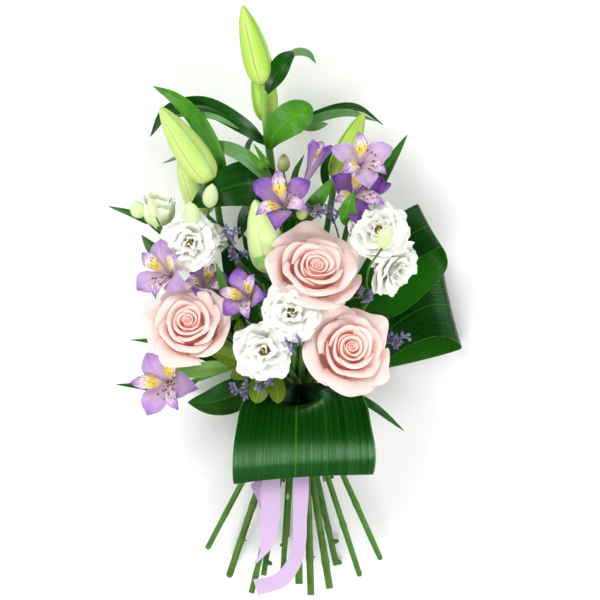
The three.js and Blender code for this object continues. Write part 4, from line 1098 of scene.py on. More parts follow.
# %% [markdown]
# ## Roses
# Seen from the open face, a rose is a tight roll of petals round which ever wider ones lean out. A
# petal climbs a curve from the root to the rim, wraps part of the way round, and rolls its edge
# outwards, more at its shoulders than in the middle, which gives it a soft point. Sculpting would
# need a day for three roses. As a rule, a table of rings makes all of them, with other random leans.

# %% Curled petals
CLIMB_SHARE = 0.6


def curled_petal(root, belly, lip, middle, half, curl, bend, swirl, droop, dent, ruffle, phase,
                 columns, point=0.0, rows=18, thickness=0.5):
    """A petal round a bloom's axis. It climbs to its lip, a radius and a height, and curls out there.

    middle is where it stands round the axis, in radians, and half how far it wraps to either side.
    curl is the length of the curled part and bend the angle it turns through. half and bend are in
    degrees. swirl moves one edge outwards and the other inwards, droop rounds its corners, point
    draws out its tip, dent makes it uneven and ruffle waves its rim."""
    lip_radius, lip_height = lip
    start, low = np.array([1.5, root]), np.array([belly * 1.15, root - 0.5])
    high, end = np.array([belly * 1.03, mix(root, lip_height, 0.7)]), np.array([lip_radius, lip_height])
    steep = math.atan2(*(end - high)[::-1])

    def at(u, v):
        outline = 1 - droop * np.abs(u) ** 2.4
        t = (np.clip(v / CLIMB_SHARE, 0, 1) * outline)[..., None]
        climb = bezier(t, start, low, high, end)
        past = np.clip((v - CLIMB_SHARE) / (1 - CLIMB_SHARE), 0, 1)
        full = math.radians(bend) * (0.85 + 0.3 * np.sin(math.pi * np.clip(np.abs(u) * 1.1, 0, 1)) ** 2)
        length = curl * outline * (1 + point * np.exp(-((u / 0.28) ** 2)))
        turn = full * past**1.15
        radius = climb[..., 0] + length / full * (math.sin(steep) - np.sin(steep - turn))
        up = climb[..., 1] + length / full * (np.cos(steep - turn) - math.cos(steep))
        frill = ruffle * past**1.3 * (
            np.sin(2.6 * math.pi * u + phase) + 0.55 * np.sin(5.3 * math.pi * u + 2.1 * phase)
            + 0.3 * np.sin(10.7 * math.pi * u + 3.7 * phase) * past)
        radius = radius + swirl * u * v + dent * v**2 * np.sin(1.4 * math.pi * u + phase) + 0.45 * frill
        angle = middle + math.radians(half) * u * np.clip(2.4 * v**0.6, 0.4, 1)
        return np.stack([radius * np.cos(angle), radius * np.sin(angle), up + 0.8 * frill], -1)

    return blade(at, columns, rows, thickness, edge=0.5)


# %% Roses
def bloom_row(at, facing, size, roll, opening=1, **more):
    """A bloom: its root, where it looks, its size, its turn in degrees and how far it is open."""
    return dict(at=at, facing=facing, size=size, roll=roll, opening=opening, **more)


ROSES = {
    "centre": bloom_row((21, 20, 99), (0.2, 0.42, 0.88), 0.98, 46, spread=(1.08, 0.93, 1)),
    "left": bloom_row((-94, -35, 85), (-0.12, 0.4, 0.9), 0.92, 50),
    "right": bloom_row((53, -55, 98), (0.3, 0.26, 0.92), 0.93, 125),
}
# Petals, widest radius, lip radius and height, half the wrap, length of the curl and its bend.
ROSE_RINGS = [
    (2, 5.4, (5.0, 42.0), 125, 1.8, 60), (3, 8.8, (8.6, 42.0), 90, 3.2, 72),
    (3, 13.0, (12.8, 41.0), 80, 5.2, 80), (4, 18.0, (18.4, 38.5), 64, 7.8, 86),
    (5, 24.0, (25.6, 33.5), 52, 11.5, 90), (5, 29.0, (33.0, 26.0), 46, 17.0, 80),
]


def rose_heart():
    """The roll at the heart: one petal wound twice round the axis, its rim turned out a little."""

    def at(u, v):
        turn = (u + 1) / 2
        flare = 0.9 * np.clip(v - 0.8, 0, 1) / 0.2 * turn
        radius = (0.7 + 4.3 * turn**1.1) * (0.4 + 0.6 * v**0.6) + flare
        angle = math.radians(700) * turn
        rise = 12 + 30 * v + 1.2 * turn * v
        return np.stack([radius * np.cos(angle), radius * np.sin(angle), rise], -1)

    return blade(at, 64, 12, 0.5, edge=0.8)


for side, rose in ROSES.items():
    petals = random.Random(side)
    piece = Piece("rose_bloom_" + side, "rose_petal")
    place = frame_at(rose["at"], rose["facing"], rose["roll"])
    place[:3, :3] = rose["size"] * np.diag(rose.get("spread", (1, 1, 1))) @ place[:3, :3]
    core = turned([(0.5, 0.2), (4, 1), (4, 10), (3, 16), (3.4, 30), (0.3, 36)], 14, smooth_to=16)
    piece.add(core, "rose_petal", 0.0, 0.5, place)
    piece.add(rose_heart(), "rose_petal", 0.0, 0.4, place)
    for ring, (count, belly, lip, half, curl, bend) in enumerate(ROSE_RINGS):
        depth = (ring + 1) / len(ROSE_RINGS)
        for k in range(count):
            lift = petals.uniform(-1.4, 1.0) * (0.4 + depth)
            made = curled_petal(
                root=11 - 1.5 * ring, belly=belly, lip=(lip[0] + petals.uniform(-0.7, 0.9), lip[1] + lift),
                middle=2 * math.pi * (k / count + 0.31 * ring) + petals.uniform(-0.2, 0.2),
                half=half + petals.uniform(-6, 7), curl=curl * petals.uniform(0.75, 1.2),
                bend=bend + petals.uniform(-20, 20), swirl=1.2 + 0.5 * ring, droop=0.1 + 0.02 * ring,
                point=0.42 * depth**2, dent=0.3 + 1.1 * depth, ruffle=0.2 * depth,
                phase=petals.uniform(0, 6), columns=24)
            piece.add(made, "rose_petal", depth, petals.random(), place)
    piece.make()
print("rose petals each", sum(ring[0] for ring in ROSE_RINGS) + 1)

# %% [markdown]
# ## Rose stems
# Under each rose sits a swollen green neck with five sepals bent down round it. The stem below it
# keeps a few thorns, as the photograph shows on those that stick out of the tie.

# %% Rose stems
THORNS = {
    "centre": [(-197, (1, 0.3, 0.5)), (-236, (0.5, 0.3, 1))],
    "left": [(-242, (1, 0.1, 0.5)), (-205, (-0.3, 0.3, 1))],
    "right": [(-259, (0.9, 0.3, 0.6)), (-214, (-0.3, 0.3, 1))],
}
NECK = [(1, -9), (3.6, -7.5), (4.9, -4), (5.2, -1.5), (3.4, -0.5)]
for side, rose in ROSES.items():
    name, at, facing = "rose_" + side, rose["at"], rose["facing"]
    piece = Piece("rose_stem_" + side, "stem")
    piece.add(main_stem(name, [below(at, facing, 14), below(at, facing, 3)]), "rose_stem", cap="pith")
    neck = frame_at(at, facing)
    piece.add(turned(NECK, 14, smooth_to=10), "sepal", place=neck)
    for k in range(5):
        turn = np.eye(4)
        turn[:3, :3] = frame_at((0, 0, 0), (0, 0, 1), 72 * k)[:3, :3]
        sepal = leaf([(3, 0, -2), (9, 0, -4), (16, 0, -9)], 7, widest=0.3, fold=0.1, rows=12, columns=6)
        piece.add(sepal, "sepal", tone=0.2 * k, place=neck @ turn)
    for y, direction in THORNS[side]:
        piece.add(thorn(name, y, direction), "rose_stem", tone=0.9)
    piece.make()

# %% [markdown]
# ## Lisianthus
# A lisianthus has softer, thinner petals than a rose, in fewer rings, with ruffled rims and an open
# throat where a green knob stands among yellow pollen. The rose's petal rule serves again, with a
# strong ripple and hardly any roll.

# %% Lisianthus
LISIANTHUS = {
    "centre_upper": bloom_row((4, -12, 125), (0, 0.08, 1), 1.02, 15),
    "centre_lower": bloom_row((-21, -48, 114), (-0.1, -0.1, 1), 1.05, 60),
    "left_front": bloom_row((-96, 61, 86), (0, -0.1, 1), 1, 35),
    "left_side": bloom_row((-82, 58, 84), (0.75, 0.4, 0.52), 0.68, 0, 0.7),
    "left_goblet": bloom_row((-128, 76, 78), (-0.02, 0.92, 0.38), 1.0, 20, 0.42,
                             petal="green_petal", rings=3),
    "right_upper": bloom_row((91, 65, 102), (0, 0.25, 0.97), 1.05, 80, 0.95),
    "right_lower": bloom_row((93, 42, 84), (0.66, -0.42, 0.62), 1.12, 40, 0.9),
}


# The green knob in the throat, as radius and height from its foot up.
PISTIL = [(0.5, 0.2), (3, 1), (3.2, 7), (1.8, 14), (1.2, 18), (2.2, 21), (0.3, 22.5)]


def lisianthus_rings(opening):
    """Petals, widest radius, lip radius and height, half the wrap, length of the curl and its bend."""
    shut = [(3, 6.0, 3.5, 27, 80, 2.0, 40), (4, 9.5, 6.0, 28, 62, 2.5, 40),
            (5, 13.5, 8.0, 29, 50, 3.0, 40), (5, 16.5, 9.5, 28.5, 50, 3.5, 45),
            (5, 18.5, 10.5, 27, 48, 4.0, 50)]
    wide = [(3, 4.0, 3.9, 26.5, 80, 4.5, 66), (4, 5.5, 8.4, 25.5, 60, 6.5, 72),
            (5, 7.5, 14, 23, 50, 8.0, 76), (5, 10, 18, 19, 50, 10, 76), (5, 13.5, 20.5, 14, 48, 10, 62)]
    rings = []
    for closed, opened in zip(shut, wide):
        count, belly, radius, height, half, curl, bend = (
            mix(a, b, opening) for a, b in zip(closed, opened))
        rings.append((round(count), belly, (radius, height), half, curl, bend))
    return rings


for key, bloom in LISIANTHUS.items():
    petals = random.Random(key)
    opening = bloom["opening"]
    piece = Piece("lisianthus_" + key, "lisianthus_petal")
    place = frame_at(bloom["at"], bloom["facing"], bloom["roll"])
    place[:3, :3] *= bloom["size"]
    piece.add(turned(PISTIL, 12, smooth_to=18), "stigma", 0.0, 0.5, place)
    for k in range(6):
        angle = math.radians(60 * k + petals.uniform(-12, 12))
        x, y = math.cos(angle), math.sin(angle)
        thread = [(out * x, out * y, up) for out, up in ((2, 6), (3.4, 14), (3.4, 17))]
        grain = [(out * x, out * y, up) for out, up in ((3.2, 17), (3.6, 20), (3.6, 22))]
        piece.add(tube(thread, 0.35, 6), "stigma", place=place)
        piece.add(tube(grain, [0.6, 1.2, 0.6], 7, (True, True)), "pollen", place=place)
    rings = lisianthus_rings(opening)
    for ring in range(len(rings) - bloom.get("rings", 5), len(rings)):
        count, belly, lip, half, curl, bend = rings[ring]
        for k in range(count):
            made = curled_petal(
                root=6 - 1.2 * ring, belly=belly * 0.95,
                lip=(lip[0] + petals.uniform(-1.3, 1.3), lip[1] + petals.uniform(-2.2, 1.8)),
                middle=2 * math.pi * (k / count + 0.37 * ring) + petals.uniform(-0.3, 0.3),
                half=half + petals.uniform(-8, 8), curl=curl * petals.uniform(0.7, 1.25),
                bend=bend + petals.uniform(-34, 26), swirl=1.8, droop=0.16, dent=1.5 * opening,
                ruffle=0.3 + 1.2 * opening, phase=petals.uniform(0, 6), columns=32, rows=16, thickness=0.45)
            piece.add(made, bloom.get("petal", "lisianthus_petal"), (ring + 1) / 5, petals.random(), place)
    piece.make()
print("lisianthus blooms", len(LISIANTHUS))

# %% [markdown]
# ## Lisianthus stems
# Each stem branches into thin stalks with a bloom or a closed green bud at the end, and a pair of
# narrow leaves. A stalk ends in the little green cup that holds the bloom.

# %% Lisianthus stems
LISIANTHUS_STEMS = {
    "left": dict(
        onward=[(-78, 29, 69)],
        stalks={"left_front": [(-88, 44, 72)], "left_side": [(-78, 40, 71)],
                "left_goblet": [(-98, 46, 66), (-118, 60, 70)]},
        twigs=[([(-110, 55, 69), (-130, 70, 76), (-146, 85, 80)], 1.2),
               ([(-78, 28, 68), (-84, 58, 68), (-89, 78, 88), (-92, 84, 102)], 1.1),
               ([(-78, 28, 68), (-78, 58, 67), (-79, 80, 86), (-78, 95, 103)], 1.1),
               ([(-118, 60, 70), (-122, 66, 92), (-131, 85, 111)], 1.0)],
        buds=[((-146, 84, 80), (-153, 101, 84), 16), ((-93, 76, 100), (-97, 99, 112), 18),
              ((-78, 94, 102), (-74, 117, 112), 16),
              ((-131, 84, 110), (-137, 101, 119), 10)],
        leaves=[([(-108, 53, 69), (-120, 46, 78), (-134, 52, 80), (-146, 66, 74)], 15),
                ([(-138, 77, 78), (-152, 86, 80), (-179, 95, 74)], 7)]),
    "right": dict(
        onward=[(85, 10, 82)],
        stalks={"right_upper": [(87, 32, 82)], "right_lower": [(91, 26, 78)]},
        twigs=[([(85, 8, 80), (80, 14, 98), (82, 34, 130), (94, 52, 149)], 1.2)],
        buds=[((93, 52, 145), (102, 75, 151), 15)],
        leaves=[([tuple(on_stem("lisianthus_right", -76)), (84, -104, 58), (118, -131, 42)], 8)]),
    "centre": dict(
        onward=[(-5, -56, 89)],
        stalks={"centre_upper": [(-2, -38, 92)], "centre_lower": [(-12, -52, 94)]},
        twigs=[], buds=[], leaves=[]),
}
CUP = [(0.6, -6.5), (2.2, -5), (3.1, -2), (2.6, -0.4)]
for side, parts in LISIANTHUS_STEMS.items():
    piece = Piece("lisianthus_stem_" + side, "stem")
    piece.add(main_stem("lisianthus_" + side, parts["onward"]), "stem", cap="pith")
    for key, via in parts["stalks"].items():
        at, facing = LISIANTHUS[key]["at"], LISIANTHUS[key]["facing"]
        piece.add(stalk([parts["onward"][-1], *via, below(at, facing, 4)]), "stem")
        piece.add(turned(CUP, 12, smooth_to=8), "sepal", place=frame_at(at, facing))
    for points, radius in parts["twigs"]:
        piece.add(stalk(points, radius), "stem")
    for base, tip, diameter in parts["buds"]:
        piece.add(small_bud(base, tip, diameter), "white_bud", tone=0.8)
    for spine, width in parts["leaves"]:
        piece.add(leaf(spine, width, wave=0.4), "leaf", tone=random_state.random())
    piece.make()
print("pieces so far", len(made_pieces))

# %% [markdown]
# ## Alstroemeria
# Six tepals open from a narrow throat: three broad ones outside, and three slim ones inside with a
# yellow patch and dark dashes that lead insects in. Curved stamens lean out of the throat. The
# dashes and patches are in the finish, because they follow each tepal's own UV map.

# %% Alstroemeria
ALSTROEMERIAS = {
    "top_front": bloom_row((0, 89, 104), (-0.15, 0.36, 0.92), 1.12, 62, 0.95, tone=0.66),
    "top_side": bloom_row((15, 110, 103), (0.34, 0.9, 0.28), 1.16, 30, -0.3, tone=0.7),
    "right_pale": bloom_row((71, 132, 104), (0.15, 0.28, 0.95), 1.06, 62, 0.9, tone=0.25),
    "right_dark": bloom_row((65, 105, 88), (0.16, 0.12, 1), 1.1, 60, 0.9, tone=0.9),
    "left_front": bloom_row((-111, 24, 76), (-0.42, 0.15, 0.89), 1.12, 0, 0.85, tone=0.3),
    "left_back": bloom_row((-84, 4, 68), (0.1, 0.55, 0.8), 0.92, 40, 0.72, tone=0.8),
    "left_inner": bloom_row((-34, 0, 99), (-0.3, 0.16, 0.93), 1, 20, 0.8, tone=0.55),
    "low": bloom_row((-117, -83, 54), (-0.2, 0.05, 0.98), 1.2, 28, 0.95, tone=0.34),
}
# Where the tepals stand round the throat, in degrees.
OUTER_TEPALS, INNER_TEPALS, LOWER_TEPAL = (90, 210, 330), (35, 145, 270), 270
# The swollen green foot under the tepals, as radius and height from below up.
THROAT = [(0.6, -7), (2.4, -6), (3.5, -1), (3.2, 4), (2.2, 8), (0.4, 9)]


def outward(angle):
    """The directions straight out and sideways, at an angle round a bloom's axis."""
    c, s = math.cos(angle), math.sin(angle)
    return np.array([c, s, 0]), np.array([-s, c, 0])


def tepal(turn, width, root, reach, rise, wave, phase, pointed, widest=0.66):
    """A tepal that climbs out of the throat, leans outwards and bends back at its pointed tip."""
    start, low = np.array([1.0, root]), np.array([3.5, root + rise * 0.5])
    high, end = np.array([reach * 0.5, root + rise * 1.06]), np.array([reach, root + rise * 0.84])
    power = math.log(0.5) / math.log(widest)
    out, side = outward(math.radians(turn))

    def at(u, v):
        t = v[..., None]
        climb = bezier(t, start, low, high, end)
        swell = np.sin(math.pi * v**power) ** pointed
        uneven = 1 + 0.06 * np.sin(11 * v + phase) + 0.025 * np.sin(29 * v + 3 * phase)
        half = width / 2 * np.maximum(swell * uneven, 0.12 * (1 - v) + 0.01)
        ripple = wave * v**2 * np.sin(3.2 * u + 4.5 * v + phase) * np.abs(u)
        lift = 0.22 * half * u**2 + ripple - 0.5 * np.exp(-((u / 0.12) ** 2)) * v
        sway = 1.6 * v**2 * math.sin(2 * phase)
        place = out * (climb[..., 0] - 0.5 * lift)[..., None] + side * (u * half + sway)[..., None]
        place[..., 2] = climb[..., 1] + lift
        return place

    return blade(at, 16, 24, 0.5, edge=0.5)


for key, bloom in ALSTROEMERIAS.items():
    petals = random.Random(key)
    opening = bloom["opening"]
    reach = mix(12, 31, opening)
    piece = Piece("alstroemeria_" + key, "alstroemeria_petal")
    place = frame_at(bloom["at"], bloom["facing"], bloom["roll"])
    place[:3, :3] *= bloom["size"]
    piece.add(turned(THROAT, 12, smooth_to=14), "sepal", place=place)
    for turn in OUTER_TEPALS:
        made = tepal(
            turn=turn + petals.uniform(-9, 9), width=22, root=0.5, reach=reach * petals.uniform(0.9, 1.06),
            rise=mix(44, 33, opening), wave=3.4, phase=petals.uniform(0, 6), pointed=0.82)
        piece.add(made, "outer_tepal", 1, bloom["tone"], place)
    for turn in INNER_TEPALS:
        made = tepal(
            turn=turn + petals.uniform(-8, 8), width=12.5, root=4.5, reach=reach * 0.88,
            rise=mix(42, 34, opening), wave=1.8, phase=petals.uniform(0, 6), pointed=0.9)
        piece.add(made, "inner_tepal", float(turn == LOWER_TEPAL), petals.random(), place)
    for k in range(6):
        angle = math.radians(225 + 26 * k + petals.uniform(-6, 6))
        x, y = math.cos(angle), math.sin(angle)
        far = reach * petals.uniform(0.22, 0.42)
        tall = petals.uniform(30, 37)
        line = spline([(0, 0, 3), (0.35 * far * x, 0.35 * far * y, 0.6 * tall), (far * x, far * y, tall)])
        piece.add(tube(line(np.linspace(0, 1, 12)), np.linspace(0.55, 0.4, 12), 7), "filament", place=place)
        tip = line(1.0)
        anther = [tip - (0, 0, 1.2), tip, tip + (0.8 * x, 0.8 * y, 1.6)]
        piece.add(tube(anther, [0.7, 1.15, 0.6], 8, (True, True)), "anther", place=place)
    piece.make()
print("alstroemeria blooms", len(ALSTROEMERIAS))

# %% [markdown]
# ## Lily buds
# A closed lily bud is three broad tepals pressed edge to edge, so its section has three soft lobes
# with a seam between each two. It is a turned body with lobes, narrowed by a curve to a blunt tip,
# and bent a little along its length, as a real one is by its own weight.

# %% Lily buds
LILY_BUDS = {
    "tall_tip": dict(at=(-23, 217, 85), tip=(-44.5, 296, 92), diameter=28, tone=0.05),
    "tall_side": dict(at=(-20, 180, 68), tip=(-27, 257, 50), diameter=26, tone=0.0),
    "left_outer": dict(at=(-75, 120, 97), tip=(-127, 194, 100), diameter=33, tone=0.2),
    "left_inner": dict(at=(-81, 87, 60), tip=(-108, 156, 58), diameter=31, tone=0.3),
    "middle": dict(at=(-13, 30, 88), tip=(-32, 101, 116), diameter=37, tone=0.5, roll=-18),
    "right": dict(at=(47, 123, 88), tip=(77, 189, 92), diameter=24, tone=0.0),
}
BUD_PROFILE = [(0.2, 0), (0.55, 0.03), (0.87, 0.12), (0.99, 0.26), (0.97, 0.42), (0.84, 0.6), (0.62, 0.77),
               (0.38, 0.89), (0.2, 0.96), (0.07, 0.992)]


LOBE_DEPTH, BUD_BEND = 0.075, 0.02


def lily_bud(length, diameter):
    """A bud of three lobes, sunk a little along each seam and raised along each rib."""
    r = diameter / 2
    made = turned([(x * r, h * length) for x, h in BUD_PROFILE], 48, 3, LOBE_DEPTH, smooth_to=44)
    angle = np.arctan2(made.points[:, 1], made.points[:, 0])
    height = made.points[:, 2] / length
    seam = np.exp(-(((np.cos(3 * angle) + 1) / 0.12) ** 2))
    rib = np.exp(-(((1 - np.cos(3 * angle)) / 0.1) ** 2))
    squeeze = 1 - 0.045 * seam * np.sin(math.pi * height) + 0.03 * rib * np.sin(math.pi * height)
    made.points[:, :2] *= squeeze[:, None]
    made.points[:, 0] += BUD_BEND * length * np.sin(math.pi * height)
    return made


for key, bud in LILY_BUDS.items():
    axis = np.array(bud["tip"]) - np.array(bud["at"])
    piece = Piece("lily_bud_" + key, "lily_bud")
    shape = lily_bud(np.linalg.norm(axis), bud["diameter"])
    piece.add(shape, "lily_bud", tone=bud["tone"], place=frame_at(bud["at"], axis, bud.get("roll", 20)))
    piece.make()

# Alstroemeria is the lily's relative, and its closed bud has the same form, only small and purple.
PURPLE_ROOT, PURPLE_AXIS, PURPLE_DIAMETER = (87.4, 109.6, 98.6), (16, 7, 20), 12
piece = Piece("alstroemeria_bud", "alstroemeria_petal")
piece.add(lily_bud(np.linalg.norm(PURPLE_AXIS), PURPLE_DIAMETER), "outer_tepal", tone=0.8,
          place=frame_at(PURPLE_ROOT, PURPLE_AXIS))
piece.make()
print("lily buds", len(LILY_BUDS))

# %% [markdown]
# ## Leafy stems
# Lily and alstroemeria leaves are long and narrow, with parallel veins, and arch over at the tip.
# Every leaf is one curve, a width and the direction in which its upper side looks, so a stem with
# its leaves is a short list.

# %% Leafy stems
def leaf_row(width, *spine, **shape):
    """A leaf's row: its width, the points it runs through, and what else its shape needs."""
    return dict(spine=list(spine), width=width, **shape)


OLIVE = dict(blunt=0.55, fold=0.15)
LEAFY_STEMS = {
    "lily_stem_tall": dict(
        onward=[(-19, 161, 80), (-22, 190, 84), (-22.9, 216.4, 85)], young=4.2,
        stalks=[([(-18, 158, 79), (-19.5, 170, 72), (-20, 179.4, 68)], 2),
                ([on_stem("lily_tall", 4), (-6, 14, 66), (-10, 23, 78), (-12.8, 29.2, 87)], 2)],
        leaves=[
            leaf_row(20, (-22.4, 204, 84), (-13, 222, 94), (-3, 240, 95), (11, 251, 86),
                     widest=0.5, fold=0.15, blunt=1.1),
            leaf_row(8, (-3, 241, 92), (9, 249, 88), (21, 248, 80), (29, 239, 68), finish="grey_leaf"),
            leaf_row(19, (-20, 156, 80), (-44, 175, 92), (-84, 195, 88), (-119, 190, 76), (-138, 166, 52),
                     face=((0, 0, 1), (-0.2, 0.2, 1)), fold=0.4),
            leaf_row(34, (-19, 150, 80), (-13, 166, 94), (0, 179, 106), (13, 185, 106), (26, 182, 97),
                     widest=0.6, blunt=0.55, finish="bright_leaf"),
            leaf_row(9, (16, 172, 86), (29, 175, 87), (41, 177.5, 82), finish="grey_leaf"),
            leaf_row(8, (-17, 132, 80), (-24, 133, 112), (-41, 152, 114), finish="bright_leaf"),
            leaf_row(7, (-17, 130, 80), (-20, 136, 112), (-33, 156, 113), finish="bright_leaf"),
            leaf_row(6, (-48, 172, 98), (-70, 183, 98), (-94, 187, 94), (-120, 183, 83),
                     finish="grey_leaf"),
            leaf_row(9, (10, 170, 83), (28, 182, 80), (60, 189, 77), (90, 181, 62), finish="grey_leaf"),
            leaf_row(15, (-18, 158, 79), (25, 181, 72), (66, 193, 68), (97, 178, 50),
                     face=((0, 0.4, 1), (0.2, 1, 0.6)), fold=0.5),
            leaf_row(14, (-19, 158, 79), (-33, 163, 62), (-43, 140, 44), (-48, 112, 4),
                     face=((0, 1, 1), (-0.6, 0.6, 0.4))),
            leaf_row(15, on_stem("lily_tall", 114), (-24, 128, 106), (-45, 146, 103), (-76, 155, 78),
                     (-126, 138, 72), finish="grey_leaf"),
            leaf_row(46, on_stem("lily_tall", 108), (-30, 118, 90), (-60, 113, 99), (-97, 94, 90), fold=0.2),
            leaf_row(20, on_stem("lily_tall", 90), (-26, 96, 80), (-40, 86, 76), (-49, 62, 62)),
            leaf_row(16, (-13, 21, 76), (-23, 32, 71), (-35, 50, 75), (-45, 68, 84), face=((-0.5, 0, 1),)),
            leaf_row(13, (-33, 42, 107), (-24, 38, 112), (-12, 42, 113), (1, 51, 109), finish="pale_leaf"),
        ]),
    "lily_stem_left": dict(
        onward=[(-70, 98, 81), (-74.6, 119.4, 96)],
        stalks=[([on_stem("lily_left", 70), (-74, 80, 62), (-80.7, 86.4, 60)], 2)],
        leaves=[
            leaf_row(18, (-69, 94, 77), (-68, 134, 86), (-89, 179, 97), (-110, 201, 98), (-134, 215, 86),
                     finish="bright_leaf"),
            leaf_row(36, on_stem("lily_left", -30), (-36, 0, 52), (-50, 32, 50), (-66, 62, 52)),
            leaf_row(28, on_stem("lily_left", -40), (-50, -30, 50), (-62, -8, 48), (-76, 14, 46)),
        ]),
    "lily_stem_right": dict(
        onward=[(46, 110, 81), (46.8, 122.4, 87.7)],
        leaves=[leaf_row(9, (45, 103, 77), (38, 124, 79), (40, 142, 81), (51, 158, 86))]),
    "alstroemeria_stem_top": dict(
        onward=[(12, 79, 92)], blooms={"top_front": (7, 84, 95), "top_side": (13, 96, 97)},
        stalks=[([(12, 79, 92), (-2, 122, 92), (-4, 132, 98)], 1.1),
                ([(12, 79, 92), (24, 84, 93), (32, 92, 96)], 1.1)],
        buds=[((-4, 129, 97), (-3, 147, 106), 13), ((24, 86, 106), (34, 96, 113), 13),
              ((13, 82, 116), (18, 94, 124), 12)],
        leaves=[
            leaf_row(8, (12, 80, 92), (8, 104, 90), (8, 126, 94), (17, 146, 100)),
            leaf_row(17, (13, 80, 93), (22, 88, 104), (33, 104, 116), (48, 124, 122), finish="bright_leaf"),
        ]),
    "alstroemeria_stem_right": dict(
        onward=[(65, 85, 84)], blooms={"right_pale": (75, 106, 86), "right_dark": (63, 92, 86)},
        stalks=[([(65, 85, 84), (78, 96, 92), (87, 109, 98)], 1.2)],
        leaves=[
            leaf_row(12, (65, 85, 84), (88, 112, 90), (104, 140, 97), (120, 166, 96)),
            leaf_row(19, (65, 85, 84), (62, 83, 114), (61, 93, 134), (66, 108, 140), finish="bright_leaf"),
        ]),
    "alstroemeria_stem_left": dict(
        onward=[(-65, -24, 68)],
        blooms={"left_front": (-88, 4, 66), "left_back": (-74, -10, 64), "left_inner": (-46, -12, 84)},
        leaves=[
            leaf_row(13, (-65, -25, 68), (-59, -12, 86), (-62, 9, 101), (-71, 39, 110),
                     finish="bright_leaf"),
        ]),
    "alstroemeria_stem_low": dict(
        onward=[(-60, -68, 49), (-88, -78, 47)], blooms={"low": (-102, -82, 46)},
        leaves=[
            leaf_row(8, (-86, -77, 47), (-112, -92, 40), (-146, -86, 52), (-172, -84, 60)),
            leaf_row(8, (-60, -68, 49), (-84, -56, 56), (-124, -42, 68), (-157, -39, 62)),
            leaf_row(15, (-50, -66, 52), (-74, -67, 64), (-98, -71, 66), (-124, -68, 60),
                     finish="pale_leaf"),
        ]),
    "foliage_left": dict(leaves=[
        leaf_row(34, (-34, -61, 26), (-50, -92, 24), (-74, -102, 24), (-101, -103, 20), fold=0.1),
        leaf_row(26, (-34, -61, 26), (-58, -50, 26), (-84, -46, 30), (-112, -50, 28), finish="pale_leaf"),
    ]),
    "foliage_olive": dict(leaves=[
        leaf_row(20, (-27.5, -66.5, 69.8), (-40, -63, 78), (-56, -56, 85), (-71, -51, 86),
                 widest=0.64, **OLIVE),
        leaf_row(15, (-27, -66, 70), (-39, -50, 76), (-46, -36, 80), (-48, -19, 82), widest=0.6, **OLIVE),
        leaf_row(15, (-26, -67, 69), (-40, -70, 73), (-57, -76, 72), widest=0.6, **OLIVE),
        leaf_row(21, (-22, -69, 66.5), (-23, -73, 82), (-27, -85, 98), (-31, -102, 104),
                 widest=0.72, **OLIVE),
        leaf_row(17, (-22, -69, 66.5), (-16, -73, 83), (-10, -86, 99), (-9, -102, 105),
                 widest=0.72, **OLIVE),
    ]),
}
LEAF_WAVE = 0.02
for name, parts in LEAFY_STEMS.items():
    slot = "olive_leaf" if name == "foliage_olive" else "leaf"
    usual_finish = "lily_leaf" if name.startswith("lily") else slot
    stem, onward = name.replace("_stem", ""), parts.get("onward", [])
    piece = Piece(name, slot)
    piece.add(main_stem(stem, onward), "stem", cap="pith")
    marked(piece, stem)
    if "young" in parts:
        piece.add(stalk(onward, parts["young"]), "young_stem")
    for points, radius in parts.get("stalks", []):
        piece.add(stalk(points, radius), "stem")
    for key, via in parts.get("blooms", {}).items():
        bloom = ALSTROEMERIAS[key]
        end = below(bloom["at"], bloom["facing"], 7.0 * bloom["size"])
        piece.add(stalk([onward[-1], via, end], 1.5), "stem")
    for base, tip, diameter in parts.get("buds", []):
        piece.add(small_bud(base, tip, diameter), "young_bud", tone=0.7)
    for row in parts["leaves"]:
        finish = row.pop("finish", usual_finish)
        piece.add(leaf(**row, wave=LEAF_WAVE * row["width"]), finish, tone=random_state.random())
    piece.make()
print("pieces so far", len(made_pieces))

# %% [markdown]
# ## Folded aspidistra leaves
# Florists fold these long glossy leaves back on themselves: one hangs over the tie as a collar and
# two loop back at the right, and one lies flat underneath. Each is a strip between two edge curves,
# so a fold is simply where the curves turn back, and the sheet in between stays as wide as a leaf.

